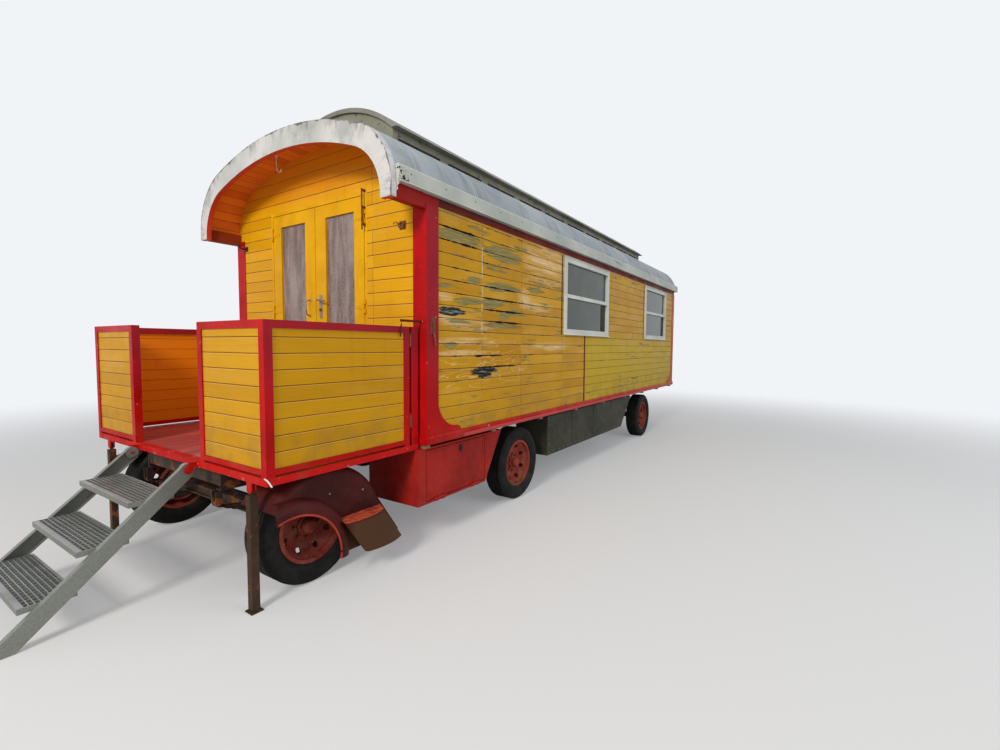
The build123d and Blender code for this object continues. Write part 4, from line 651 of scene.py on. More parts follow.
def vault(p):
    """Length along the roof's curve from its ridge, and depth below its outer face."""
    across, up, out, over = p.y.abs(), p.z - low_z, p.y.abs() - corner_y, p.z - corner_z
    corner = across.above(CROWN_R * math.sin(lean))
    crown_arc = across.math("ARCTAN2", up) * CROWN_R
    corner_arc = (out.math("ARCTAN2", over) - lean) * CORNER_R + lean * CROWN_R
    crown_depth = CROWN_R - (across * across + up * up).math("SQRT")
    corner_depth = CORNER_R - (out * out + over * over).math("SQRT")
    return (crown_arc * (1.0 - corner) + corner_arc * corner,
            crown_depth * (1.0 - corner) + corner_depth * corner)


print("the crown's circle ends", round(math.degrees(lean), 1), "degrees from the ridge")

# %% Ceiling boards
CEILING_BOARD = 0.088
p = Paint("ceiling_boards_paint")
arc, _ = vault(p)
board = (arc / CEILING_BOARD).floor()
joint = ((arc / CEILING_BOARD).fract() - 0.5).abs().ramp(0.455, 0.5)
colour = p.mix((p.chance(board) * 0.6 + p.noise(1.2) * 0.4).ramp(0.2, 0.8),
               (0.72, 0.140, 0.010), (0.95, 0.240, 0.016))
grain = p.noise(7.0, 4.0, 0.6, p.stretched(0.3, 6.0, 6.0))
colour = p.mix(grain.ramp(0.5, 0.75) * 0.25, colour, (0.36, 0.08, 0.01))
colour = p.mix(joint * 0.75, colour, (0.16, 0.035, 0.006))
dress(p.done(colour, 0.46, bump=grain * 0.15 - joint, depth=0.003), "roof_lining")
print("ceiling boards every", CEILING_BOARD, "m of arc")

# %% [markdown]
# ## The white fascia
# The fascia is an off-white arch that closes the roof's front. Grey streaks start at its upper
# edge, where the chipped rim is dark, and the vault's arc length keeps them square to that edge.
# Its narrow inner edge is red, and only the direction that a face looks in tells the red edge
# from the white front, as both belong to one CAD solid.

# %% White fascia
p = Paint("fascia_paint")
arc, depth = vault(p)
# painted dappled light: grey-green shaded patches and white lit patches, mixed by noise
colour = p.mix(p.noise(1.7, 4.0).ramp(0.32, 0.66), (0.41, 0.43, 0.40), (0.62, 0.60, 0.585))
streak = p.noise(1.0, 5.0, 0.65, p.together(arc * 14.0, p.x * 2.0, depth * 4.0)).ramp(0.48, 0.74)
colour = p.mix(streak * depth.ramp(0.010, 0.13, 0.80, 0.0), colour, (0.13, 0.125, 0.12))
face_x, face_y, face_z = p.facing()
rim = (p.noise(11.0, 5.0, 0.7) - 0.43).most(0.0) * 0.10
rim = (rim - depth).ramp(-0.004, 0.003) * face_x.above(0.5)
colour = p.mix(rim * 0.85, colour, (0.055, 0.050, 0.048))
stain = p.noise(3.1, 5.0, 0.65).ramp(0.50, 0.66)
colour = p.mix(stain * 0.55, colour, (0.25, 0.27, 0.255))
chip = (p.noise(15.0, 6.0, 0.7) + p.z.ramp(2.48, 2.60, 0.06, 0.0)).ramp(0.71, 0.73)
colour = p.mix(chip, colour, (0.22, 0.21, 0.17))
inner = (face_y * p.y.math("SIGN") * -1.0).most(face_z * -1.0).above(0.4)
colour = p.mix(inner, colour, (0.56, 0.035, 0.012))
dress(p.done(colour, p.noise(6.0).ramp(0.3, 0.7, 0.42, 0.60), bump=chip * -1.0 - streak * 0.1,
             depth=0.0015), "roof_fascia")
print("fascia painted")

# %% [markdown]
# ## Windows, eaves and lantern
# The window frames were painted white, the gutters are grey metal and the lantern is a dull
# green. All three chip and let brown runs down, so they share one recipe.

# %% Windows, eaves and lantern
def pale_paint(name, colour_a, colour_b, under, chips, gloss=0.42):
    """Pale paint that has chipped, with rust-brown runs."""
    p = Paint(name)
    colour = p.mix(p.noise(2.6, 4.0).ramp(0.3, 0.7), colour_a, colour_b)
    runs = p.noise(3.2, 5.0, 0.6, p.stretched(6.0, 6.0, 0.5)).ramp(0.55, 0.80)
    colour = p.mix(runs * 0.35, colour, (0.34, 0.26, 0.17))
    chip = (p.noise(13.0, 6.0, 0.7) + chips).ramp(0.70, 0.72)
    colour = p.mix(chip, colour, under)
    rough = p.noise(6.0).ramp(0.3, 0.7, gloss, gloss + 0.18)
    return p.done(colour, rough, bump=chip * -1.0 + runs * 0.1, depth=0.0015)


window_white = pale_paint("window_paint", (0.52, 0.54, 0.49), (0.64, 0.66, 0.61),
                          (0.42, 0.40, 0.35), -0.02)
eave_grey = pale_paint("eave_metal_paint", (0.34, 0.375, 0.335), (0.49, 0.50, 0.45),
                       (0.20, 0.17, 0.12), 0.02, 0.36)
lantern_green = pale_paint("lantern_paint", (0.155, 0.152, 0.105), (0.25, 0.240, 0.170),
                           (0.075, 0.062, 0.045), 0.095)
dress(window_white, "window_frames")
dress(eave_grey, "gutters")
dress(lantern_green, "lantern_walls")
print("pale paints", 3)

# %% [markdown]
# ## Glass
# Window glass mirrors the sky and shows the dark room behind it. See-through glass would need a
# furnished room, so a dark glossy sheet stands in for it. The door panes are figured brown
# glass: a rough, dark sheet whose bump is made of small cells, with pale streaks and cells
# painted in as highlights.

# %% Window and door glass
p = Paint("window_glass")
grime = p.noise(5.0, 4.0).ramp(0.45, 0.8)
colour = p.mix(grime * 0.5, (0.020, 0.030, 0.022), (0.070, 0.090, 0.062))
dress(p.done(colour, grime * 0.10 + 0.05), "window_panes", "lantern_panes")

p = Paint("figured_door_glass")
figure = p.cells(70.0)
fine = p.noise(140.0, 2.0)
# painted highlights: pale vertical streaks and pale cells stand in for light in the figured glass
painted_streaks = p.noise(7.0, 5.0, 0.6, p.stretched(1.0, 1.6, 0.30))
colour = p.mix(painted_streaks.ramp(0.36, 0.66), (0.070, 0.045, 0.034), (0.30, 0.225, 0.205))
colour = p.mix(figure.ramp(0.1, 0.5) * 0.35, colour, (0.36, 0.28, 0.26))
dress(p.done(colour, 0.22, bump=figure + fine * 0.3, depth=0.003),
      "door_glass_left", "door_glass_right")
print("two kinds of glass made")

# %% [markdown]
# ## Steel under the floor
# Chassis paint is thin and the road throws stones at it, so rust comes through in patches that
# also feel rougher. Dirt from the wheels gathers low down, so its strength fades with height.

# %% Paint on steel
def steel_paint(name, dark, light, rust=0.0, dust=0.3, gloss=0.45, metal=0.0, wear=None):
    """Paint on steel; wear is a function that adds the piece's own worn places."""
    p = Paint(name)
    colour = p.mix(p.noise(3.0, 4.0).ramp(0.3, 0.7), dark, light)
    blotch = (p.noise(5.5, 6.0, 0.68) + rust).ramp(0.60, 0.66)
    orange = p.mix(p.noise(31.0, 4.0).ramp(0.35, 0.65), (0.12, 0.036, 0.014), (0.26, 0.085, 0.028))
    colour = p.mix(blotch, colour, orange)
    grit = p.noise(17.0, 5.0, 0.7).ramp(0.42, 0.72) * p.z.ramp(0.1, 1.0, 1.0, 0.25)
    colour = p.mix(grit * dust, colour, (0.20, 0.155, 0.105))
    if wear:
        colour = wear(p, colour)
    height = blotch * p.noise(90.0, 3.0) - blotch * 0.3
    rough = p.noise(8.0).ramp(0.3, 0.7, gloss, gloss + 0.15) + blotch * 0.25
    return p.done(colour, rough, metal, bump=height, depth=0.0012, Specular_IOR_Level=0.12)


def worn_step(p, colour):
    """Feet have worn the level top of the mudguard's step down to an older red, and mud has
    browned the apron below it."""
    top = (p.z - 0.400).abs().ramp(0.002, 0.006, 1.0, 0.0) * p.facing()[2].above(0.8)
    rubbed = p.noise(9.0, 5.0, 0.65).ramp(0.34, 0.50)
    older = p.mix(p.noise(30.0, 3.0).ramp(0.4, 0.6), (0.34, 0.050, 0.025), (0.56, 0.10, 0.045))
    apron = p.z.ramp(0.380, 0.399, 0.75, 0.0) * (p.x - FRONT).ramp(0.62, 0.68, 1.0, 0.0)
    colour = p.mix(apron, colour, (0.082, 0.042, 0.017))
    return p.mix(top * rubbed, colour, older)


print("steel paint ready")

# %% [markdown]
# ## The steel pieces
# One recipe with other colours serves everything below the floor: a black chassis, red lockers and
# wheels, dark red mudguards, grey boxes and rusty stands. Each wheel's side and middle are kept in
# a table, because the tyres, nuts and caps are placed from them later.

# %% Chassis, boxes, stands and wheels
chassis_black = steel_paint("chassis_paint", (0.030, 0.020, 0.017), (0.060, 0.036, 0.028), 0.06)
locker_red = steel_paint("locker_paint", (0.25, 0.010, 0.008), (0.38, 0.016, 0.011), -0.08, 0.14)
# painted shade: the mudguards' dark maroon is darkened further to the shade under the deck
guard_red = steel_paint("mudguard_paint", (0.038, 0.006, 0.006), (0.078, 0.011, 0.010), -0.07,
                        0.06, wear=worn_step)
box_grey = steel_paint("side_box_paint", (0.028, 0.029, 0.020), (0.050, 0.050, 0.036), -0.05, 0.16)
wheel_red = steel_paint("wheel_paint", (0.17, 0.022, 0.016), (0.29, 0.040, 0.026), 0.03, 0.4)
stand_rust = steel_paint("stand_paint", (0.034, 0.020, 0.011), (0.066, 0.038, 0.020), 0.04, 0.10)
dress(chassis_black, "chassis_rails", "cross_members", "front_axle", "rear_axles", "leaf_springs",
      "knuckle_left", "knuckle_right", "tie_rod", "rear_coupling")
dress(locker_red, "lockers", "locker_flap_left", "locker_flap_right")
dress(guard_red, "mudguards")
dress(box_grey, "side_boxes")
dress(stand_rust, "stand_left", "stand_right")

wheels = {}
for end in ("front", "mid", "rear"):
    for hand, side in (("left", 1), ("right", -1)):
        name = end + "_" + hand
        wheels[name] = (side, sum(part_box("tyre_" + name), Vector()) / 2)
        dress(wheel_red, "wheel_" + name)
print("wheels at", {name: [round(c, 2) for c in place] for name, (_, place) in wheels.items()})

# %% [markdown]
# ## Galvanised steps
# Hot zinc cools in crystals, which show as a faint pattern of flakes, and the level tops of the
# gratings are painted paler, a painted reflection of the sky. A Voronoi texture gives the flakes,
# and the direction of a face picks out the tops.

# %% Galvanised steps
p = Paint("galvanised_steel")
flake_cells = p.cells(110.0)
# painted reflection: the level tops are made paler and bluish, as if they caught the sky
level = p.facing()[2].above(0.8)
colour = p.mix(flake_cells.ramp(0.1, 0.6), (0.185, 0.200, 0.180), (0.245, 0.260, 0.235))
colour = p.mix(level, colour, (0.36, 0.365, 0.380))
colour = p.mix(p.noise(4.0, 5.0).ramp(0.40, 0.75) * 0.6, colour, (0.19, 0.195, 0.175))
galvanised = p.done(colour, p.noise(11.0).ramp(0.3, 0.7, 0.42, 0.62), 0.55,
                    bump=p.noise(50.0), depth=0.0006)
dress(galvanised, "step_stringers", "step_treads")
print("steps galvanised")

# %% [markdown]
# ## Building small closed pieces
# Everything else is small and made of a few plain forms, so one builder collects boxes, rods
# and outlines into a single closed mesh and softens their edges with a small bevel. A piece
# names the body that it rides on.

# %% A mesh builder
def circle(centre, turn, radius, sides, along=0.0):
    """Points round an axis, shifted along it; turn is the rotation from Z to the axis."""
    return [centre + turn @ Vector((math.cos(a) * radius, math.sin(a) * radius, along))
            for a in (2 * math.pi * k / sides for k in range(sides))]


class Build:
    """Collects closed forms in metres, and ends as one object on one body."""

    def __init__(self):
        self.mesh = bmesh.new()

    def add(self, verts, faces, bevel=0.0):
        made = [self.mesh.verts.new(v) for v in verts]
        new_faces = [self.mesh.faces.new([made[i] for i in f]) for f in faces]
        bmesh.ops.recalc_face_normals(self.mesh, faces=new_faces)
        if bevel:
            edges = list(dict.fromkeys(e for f in new_faces for e in f.edges))
            bmesh.ops.bevel(self.mesh, geom=edges, offset=bevel, segments=2, profile=0.7,
                            affect="EDGES", clamp_overlap=True)

    def box(self, low, high, bevel=0.002):
        x0, y0, z0 = (min(a, b) for a, b in zip(low, high))
        x1, y1, z1 = (max(a, b) for a, b in zip(low, high))
        verts = [(x, y, z) for x in (x0, x1) for y in (y0, y1) for z in (z0, z1)]
        faces = [(0, 1, 3, 2), (4, 6, 7, 5), (0, 4, 5, 1), (2, 3, 7, 6), (0, 2, 6, 4), (1, 5, 7, 3)]
        self.add(verts, faces, bevel)

    def prism(self, outline, shift):
        """An outline of 3D points, carried along shift."""
        count = len(outline)
        verts = [Vector(v) for v in outline] + [Vector(v) + Vector(shift) for v in outline]
        faces = [tuple(range(count)), tuple(range(2 * count - 1, count - 1, -1))]
        faces += [(i, (i + 1) % count, count + (i + 1) % count, count + i) for i in range(count)]
        self.add(verts, faces)

    def skin(self, rings, sides):
        """Rings of points joined into one tube with flat ends."""
        verts = [v for ring in rings for v in ring]
        faces = [tuple(range(sides))[::-1], tuple(range(len(verts) - sides, len(verts)))]
        for i in range(len(rings) - 1):
            for k in range(sides):
                a, b = i * sides + k, i * sides + (k + 1) % sides
                faces.append((a, b, b + sides, a + sides))
        self.add(verts, faces)

    def tube(self, path, radius, sides=12):
        """A round bar along a list of points."""
        points, rings = [Vector(v) for v in path], []
        for i, place in enumerate(points):
            before, after = points[max(i - 1, 0)], points[min(i + 1, len(points) - 1)]
            turn = (after - before).normalized().to_track_quat("Z", "Y")
            rings.append(circle(place, turn, radius, sides))
        self.skin(rings, sides)

    def lathe(self, centre, axis, profile, sides=24):
        """Pairs of distance along the axis and radius, turned about it."""
        turn = Vector(axis).to_track_quat("Z", "Y")
        self.skin([circle(Vector(centre), turn, radius, sides, along)
                   for along, radius in profile], sides)

    def end(self, name, material, body, slot, smooth=40.0):
        mesh = bpy.data.meshes.new(name)
        self.mesh.to_mesh(mesh)
        self.mesh.free()
        made = bpy.data.objects.new(name, mesh)
        scene.collection.objects.link(made)
        mesh.materials.append(material)
        for polygon in mesh.polygons:
            polygon.use_smooth = True
        mesh.set_sharp_from_angle(angle=math.radians(smooth))
        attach(made, body)
        return made


print("a builder offers", [name for name in vars(Build) if not name.startswith("_")])

# %% [markdown]
# ## Repeated heads
# Screws, nails, rivets and nuts come in hundreds. Geometry Nodes puts one small head on every
# point of a guide mesh, turned to the guide's normals, and then makes them real. The guide
# keeps the places, so a row can be changed without touching the head. Each head is also spun
# about its own axis by a fixed seed, as no two screws end up at the same angle.

# %% Geometry Nodes for heads
TAPER = 0.72  # a head's top, as a share of its foot


def head_group():
    """A node group that sets a low round or six-sided head on each point of its guide."""
    group = bpy.data.node_groups.new("heads_on_points", "GeometryNodeTree")
    face = group.interface
    face.new_socket("Guide", in_out="INPUT", socket_type="NodeSocketGeometry")
    for label, kind, value in (("Radius", "NodeSocketFloat", 0.004),
                               ("Height", "NodeSocketFloat", 0.003),
                               ("Sides", "NodeSocketInt", 10),
                               ("Seed", "NodeSocketInt", 7)):
        face.new_socket(label, in_out="INPUT", socket_type=kind).default_value = value
    face.new_socket("Finish", in_out="INPUT", socket_type="NodeSocketMaterial")
    face.new_socket("Heads", in_out="OUTPUT", socket_type="NodeSocketGeometry")
    add, join = group.nodes.new, group.links.new
    given, result = add("NodeGroupInput"), add("NodeGroupOutput")
    # The head: a cone with its point cut off
    cone, shrink = add("GeometryNodeMeshCone"), add("ShaderNodeMath")
    shrink.operation = "MULTIPLY"
    shrink.inputs[1].default_value = TAPER
    join(given.outputs["Radius"], cone.inputs["Radius Bottom"])
    join(given.outputs["Radius"], shrink.inputs[0])
    join(shrink.outputs[0], cone.inputs["Radius Top"])
    join(given.outputs["Height"], cone.inputs["Depth"])
    join(given.outputs["Sides"], cone.inputs["Vertices"])
    # The places: the guide's points, each with its own outward direction and spin
    places = add("GeometryNodeMeshToPoints")
    join(given.outputs["Guide"], places.inputs["Mesh"])
    normal, align = add("GeometryNodeInputNamedAttribute"), add("FunctionNodeAlignRotationToVector")
    normal.data_type = "FLOAT_VECTOR"
    normal.inputs["Name"].default_value = "out"
    align.axis = "Z"
    join(normal.outputs["Attribute"], align.inputs["Vector"])
    spin, chance = add("FunctionNodeRotateRotation"), add("FunctionNodeRandomValue")
    spin.rotation_space = "LOCAL"
    chance.data_type = "FLOAT"
    chance.inputs[2].default_value, chance.inputs[3].default_value = 0.0, 6.283
    join(given.outputs["Seed"], chance.inputs["Seed"])
    turn = add("FunctionNodeAxisAngleToRotation")
    turn.inputs["Axis"].default_value = (0.0, 0.0, 1.0)
    join(chance.outputs[1], turn.inputs["Angle"])
    join(align.outputs[0], spin.inputs[0])
    join(turn.outputs[0], spin.inputs[1])
    # One head on each place, made real and given its material
    spread, real = add("GeometryNodeInstanceOnPoints"), add("GeometryNodeRealizeInstances")
    join(places.outputs[0], spread.inputs["Points"])
    join(cone.outputs["Mesh"], spread.inputs["Instance"])
    join(spin.outputs[0], spread.inputs["Rotation"])
    join(spread.outputs[0], real.inputs[0])
    finish = add("GeometryNodeSetMaterial")
    join(real.outputs[0], finish.inputs["Geometry"])
    join(given.outputs["Finish"], finish.inputs["Material"])
    join(finish.outputs[0], result.inputs[0])
    return group


HEADS = head_group()
print("head group inputs", [i.name for i in HEADS.interface.items_tree if i.in_out == "INPUT"])

# %% [markdown]
# ## From a modifier to a mesh
# A modifier's result lives only while it is evaluated, and an export drops instances. So the
# evaluated result is copied into a plain mesh and the modifier goes. Its inputs are set by
# identifier, which stays the same when a socket is renamed.

# %% Heads as a real mesh
def heads(name, places, material, body, radius, height, sides):
    """Small heads at (place, outward direction) pairs, as one real mesh."""
    guide = bpy.data.meshes.new(name + "_guide")
    guide.from_pydata([tuple(p) for p, _ in places], [], [])
    out = guide.attributes.new("out", "FLOAT_VECTOR", "POINT")
    for i, (_, direction) in enumerate(places):
        out.data[i].vector = direction
    made = bpy.data.objects.new(name, guide)
    scene.collection.objects.link(made)
    modifier = made.modifiers.new("heads", "NODES")
    modifier.node_group = HEADS
    inputs = {item.name: item.identifier for item in HEADS.interface.items_tree
              if item.in_out == "INPUT"}
    for label, value in (("Radius", radius), ("Height", height), ("Sides", sides),
                         ("Finish", material)):
        modifier[inputs[label]] = value
    bpy.context.view_layer.update()
    graph = bpy.context.evaluated_depsgraph_get()
    mesh = bpy.data.meshes.new_from_object(made.evaluated_get(graph))
    made.modifiers.clear()
    made.data = mesh
    mesh.name = name
    bpy.data.meshes.remove(guide)
    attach(made, body)


print("heads can be set in rows")

# %% [markdown]
# ## Tyres
# A tyre's look is its tread and its bulging wall. The CAD tyre is plain, so a finer one takes
# its place. It starts as one section: half of it is listed from the rim to the tread's middle,
# and the other half is its mirror image. The rubber is nearly black, with dust in its cracks.

# %% The tyre's profile
STEPS, TREAD_R = 168, 0.3496
GROOVE_DEPTH, LUG_DEPTH, ZIGZAG = 0.010, 0.006, 0.0035
SHOULDER = (0.3340, 0.3440)
# Radius and distance from the tyre's middle plane, from the rim to the edge of the tread
SIDEWALL = [(0.2120, 0.0655), (0.2150, 0.0660), (0.2266, 0.0697), (0.2290, 0.0782),
            (0.2360, 0.0900), (0.2500, 0.0965), (0.2810, 0.1018), (0.3050, 0.0995),
            (0.3200, 0.0955), (0.3255, 0.0948), (0.3270, 0.0925), (0.3340, 0.0898),
            (0.3440, 0.0830), (TREAD_R, 0.0755)]
# Distance from the middle plane, and one for the floor of a groove
TREAD = [(0.0560, 0), (0.0540, 1), (0.0460, 1), (0.0440, 0), (0.0200, 0), (0.0180, 1),
         (0.0100, 1), (0.0080, 0)]
half = [(r, out, 0) for r, out in SIDEWALL] + [(TREAD_R, out, deep) for out, deep in TREAD]
ring = [(r, -out, deep) for r, out, deep in half] + half[::-1]

p = Paint("tyre_rubber")
colour = p.mix(p.noise(9.0, 5.0).ramp(0.35, 0.7), (0.006, 0.006, 0.006), (0.017, 0.016, 0.015))
mud = p.noise(4.0, 6.0, 0.7).ramp(0.50, 0.76)
colour = p.mix(mud * 0.22, colour, (0.09, 0.07, 0.05))
perished = p.cells(120.0).ramp(0.0, 0.5)
tyre_black = p.done(colour, 0.72, bump=perished * 0.5 + mud * 0.3, depth=0.0006,
                    Specular_IOR_Level=0.15)
print("points round the tyre's section", len(ring))

# %% [markdown]
# ## Turning the tread
# The section is turned through many steps. Points between the grooves stay out while groove
# points drop in, and the grooves shift sideways every three steps, which makes the zigzag of a
# lorry tyre. Every second pair of steps cuts a lug into the shoulder. A texture could fake this,
# but the edge of the tyre would stay smooth against the light.

# %% Tyres with tread
def tyre_mesh(name, centre):
    """A turned tyre with zigzag grooves and shoulder lugs."""
    verts, faces, n = [], [], len(ring)
    for step in range(STEPS):
        angle = 2 * math.pi * step / STEPS
        wander = ZIGZAG * (1 if (step // 3) % 2 else -1)
        for r, out, deep in ring:
            lug = LUG_DEPTH if r in SHOULDER and (step // 2) % 2 else 0.0
            reach = r - GROOVE_DEPTH * deep - lug
            shift = wander if abs(out) < 0.060 else 0.0
            verts.append((centre.x + reach * math.cos(angle), centre.y + out + shift,
                          centre.z + reach * math.sin(angle)))
        a, b = step * n, ((step + 1) % STEPS) * n
        faces += [(a + i, a + (i + 1) % n, b + (i + 1) % n, b + i) for i in range(n)]
    build = Build()
    build.add(verts, faces)
    return build.end("road_tyre_" + name, tyre_black, "wheel_" + name, "tyre_rubber", 35.0)


for name, (side, centre) in wheels.items():
    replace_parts(tyre_mesh(name, centre), "tyre_" + name)
print("tyres", len(wheels), "with", STEPS, "steps")

# %% [markdown]
# ## Wheel nuts, hub caps and valves
# Each wheel is held by a ring of nuts on studs. A nut is a six-sided head on a washer, so both
# come from the head group. The hub cap is turned like the tyre, and the valve is a short rod
# that leans out near the rim.

# %% Wheel fittings
STUDS, STUD_R = 8, 0.084
for name, (side, centre) in wheels.items():
    out, body = Vector((0, side, 0)), "wheel_" + name
    studs = [centre + Vector((STUD_R * math.cos(a), -side * 0.002, STUD_R * math.sin(a)))
             for a in (2 * math.pi * k / STUDS for k in range(STUDS))]
    heads("wheel_washers_" + name, [(q + out * 0.0015, out) for q in studs], wheel_red, body,
          0.0150, 0.004, 16)
    heads("wheel_nuts_" + name, [(q + out * 0.008, out) for q in studs], wheel_red, body,
          0.0115, 0.016, 6)
    cap = Build()
    cap.lathe(centre + out * 0.018, out,
              [(0.0, 0.046), (0.006, 0.048), (0.012, 0.0455), (0.040, 0.0435), (0.050, 0.036),
               (0.0535, 0.020), (0.0540, 0.004)], 28)
    valve = centre + Vector((0, side * 0.047, -0.196))
    cap.tube([valve, valve + Vector((0, side * 0.022, 0.010))], 0.0045, 8)
    cap.end("wheel_cap_" + name, wheel_red, body, "wheel_paint")
print("nuts", STUDS * len(wheels), "on a circle of radius", STUD_R)

# %% [markdown]
# ## Lock and pull
# A living wagon's door is worn by hands: it has a galvanised lock plate with a lever, a rusty
# key cylinder and, on the other leaf, a pull. Plates are bevelled boxes, and what is round is
# turned or bent from a bar. Each fitting starts a little inside its carrier, so that no gap shows.

# %% Lock, key cylinder and pull
zinc = steel_paint("zinc_fittings", (0.20, 0.23, 0.20), (0.30, 0.33, 0.30), 0.03, 0.1, 0.38, 0.5)
rusty = steel_paint("rusty_fittings", (0.11, 0.045, 0.022), (0.20, 0.080, 0.038), 0.15, 0.1)
LOCK_Y, PULL_Y, OUTWARD = 0.048, -0.098, (1, 0, 0)

plate = Build()
plate.box(point(-0.0005, LOCK_Y - 0.019, 1.728), point(0.0035, LOCK_Y + 0.019, 1.926), 0.001)
plate.lathe(point(0.0030, LOCK_Y, 1.880), OUTWARD,
            [(0.0, 0.015), (0.008, 0.014), (0.010, 0.009), (0.032, 0.008), (0.044, 0.010),
             (0.046, 0.004)])
plate.tube([point(0.040, LOCK_Y, 1.880), point(0.046, 0.052, 1.880), point(0.048, 0.070, 1.878),
            point(0.047, 0.112, 1.872), point(0.040, 0.146, 1.866)], 0.0075, 10)
plate.end("door_lock_plate", zinc, "door_left", "step_metal")
key = Build()
key.lathe(point(0.0030, LOCK_Y, 1.798), OUTWARD, [(0.0, 0.0135), (0.009, 0.0125), (0.011, 0.006)])
key.box(point(0.010, LOCK_Y - 0.0012, 1.792), point(0.0150, LOCK_Y + 0.0012, 1.804), 0.0005)
key.end("door_key_cylinder", rusty, "door_left", "stand_metal")
heads("door_lock_screws", [(point(0.0036, LOCK_Y, z), OUTWARD) for z in (1.738, 1.845, 1.916)],
      zinc, "door_left", 0.0038, 0.0024, 8)

pull = Build()
pull.tube([point(x, PULL_Y, z) for x, z in ((-0.0005, 1.750), (0.030, 1.756), (0.042, 1.772),
                                            (0.042, 1.868), (0.030, 1.884), (-0.0005, 1.890))],
          0.006, 10)
pull.end("door_pull", zinc, "door_right", "step_metal")
print("lock at y", LOCK_Y, "and pull at y", PULL_Y)

# %% [markdown]
# ## Hinge straps
# Each leaf hangs on three hinges, whose straps are screwed to its face and painted over with it.
# They are thin plates at the hinges' own heights, and they ride on the leaf.

# %% Hinge straps
HINGES, SEAM_Y = (1.050, 1.750, 2.450), -0.020  # heights, and where the two leaves meet
for hand, side in (("left", 1), ("right", -1)):
    leaf = "door_" + hand
    strap = Build()
    for z in HINGES:
        strap.box(point(-0.0005, SEAM_Y + side * 0.600, z + 0.038),
                  point(0.0035, SEAM_Y + side * 0.520, z + 0.072), 0.0008)
    strap.end("door_hinge_straps_" + hand, door_yellow, leaf, "door_paint")
    spots = [(point(0.0036, SEAM_Y + side * y, z + 0.055), OUTWARD)
             for z in HINGES for y in (0.534, 0.560, 0.586)]
    heads("door_hinge_screws_" + hand, spots, zinc, leaf, 0.0036, 0.0020, 8)
print("hinge screws on each leaf", len(spots))

# %% [markdown]
# ## On the end wall
# A rusty rod stands in three brackets beside the casing, a black bracket holds nothing now, and a
# ring hangs from a small plate. They are bent bars on bevelled boxes, all fixed to the wagon.

# %% Rod, bracket and ring on the end wall
fitting_black = steel_paint("black_fittings", (0.020, 0.018, 0.018), (0.045, 0.040, 0.038), 0.0,
                            0.1)
rod = Build()
rod.tube([point(0.032, 0.612, 2.398), point(0.032, 0.612, 2.712)], 0.0062, 10)
for z in (2.44, 2.57, 2.70):
    rod.box(point(0.000, 0.604, z - 0.008), point(0.034, 0.620, z + 0.008), 0.001)
rod.end("end_wall_rod", rusty, "wagon", "stand_metal")
bracket = Build()
bracket.box(point(-0.003, -1.125, 2.405), point(0.006, -1.075, 2.450), 0.001)
bracket.tube([point(x, -1.100, z) for x, z in ((0.004, 2.430), (0.050, 2.424), (0.072, 2.436),
                                               (0.076, 2.462))], 0.0075, 10)
bracket.end("end_wall_bracket", fitting_black, "wagon", "chassis_paint")
loop = Build()
loop.box(point(-0.003, 0.990, 2.352), point(0.005, 1.052, 2.414), 0.001)
loop.tube([point(0.014 + 0.010 * math.cos(a * 2), 1.021 + 0.026 * math.cos(a),
                 2.380 + 0.026 * math.sin(a)) for a in map(math.radians, range(-60, 241, 20))],
          0.0045, 8)
loop.tube([point(0.004, 0.990, 2.398), point(0.020, 0.962, 2.410), point(0.026, 0.945, 2.396)],
          0.0035, 8)
loop.end("end_wall_ring", rusty, "wagon", "stand_metal")
print("end wall fittings", 3)

# %% [markdown]
# ## Porch fittings
# The balustrade hangs on drop hinges, and a flat stay bar with a lever ties its hinge post to
# the wagon's corner post. A drop hinge is a stack of short barrels on a pin, so that the panel
# can be lifted off. Both sides have them, so a small helper mirrors every place across the wagon.

# %% Stay bars, latches and drop hinges
for hand, side in (("left", 1), ("right", -1)):
    def spot(x, y, z):
        return point(x, side * y, z)

    stay = Build()
    stay.box(spot(0.212, 1.199, 1.664), spot(-0.052, 1.213, 1.680), 0.0015)
    stay.box(spot(-0.052, 1.199, 1.664), spot(-0.066, 1.262, 1.680), 0.0015)
    stay.tube([spot(0.207, 1.206, 1.675), spot(0.207, 1.206, 1.640), spot(0.207, 1.200, 1.560)],
              0.0045, 8)
    stay.end("stay_bar_" + hand, plate_red, "wagon", "red_trim")
    latch = Build()
    latch.box(spot(-0.040, 1.2555, 1.585), spot(-0.084, 1.2605, 1.705), 0.001)
    latch.lathe(spot(-0.062, 1.260, 1.672), (0, side, 0),
                [(0.0, 0.013), (0.010, 0.012), (0.013, 0.005)], 16)
    latch.box(spot(-0.058, 1.264, 1.676), spot(-0.072, 1.270, 1.560), 0.001)
    latch.tube([spot(-0.066, 1.267, 1.600), spot(-0.070, 1.270, 1.556),
                spot(-0.077, 1.272, 1.500)], 0.0065, 8)
    latch.end("post_latch_" + hand, rusty, "wagon", "stand_metal")
    hinges = Build()
    for z in (0.925, 1.500):
        for k in range(5):
            hinges.lathe(spot(0.107, 1.196, z - 0.004 + k * 0.0160), (0, 0, 1),
                         [(0.0, 0.0055), (0.002, 0.0075), (0.012, 0.0075), (0.014, 0.0055)], 12)
        hinges.tube([spot(0.107, 1.196, z - 0.012), spot(0.107, 1.196, z + 0.090)], 0.0040, 8)
    hinges.end("rail_drop_hinges_" + hand, rusty, "wagon", "stand_metal")
print("stays, latches and drop hinges on both sides")

# %% [markdown]
# ## Deck pin and canopy hook
# A white pin sticks out of the deck's front corner and bends down, and a white hook hangs from the
# ceiling. Each is one round bar along a short list of points, which is all that shows of them.

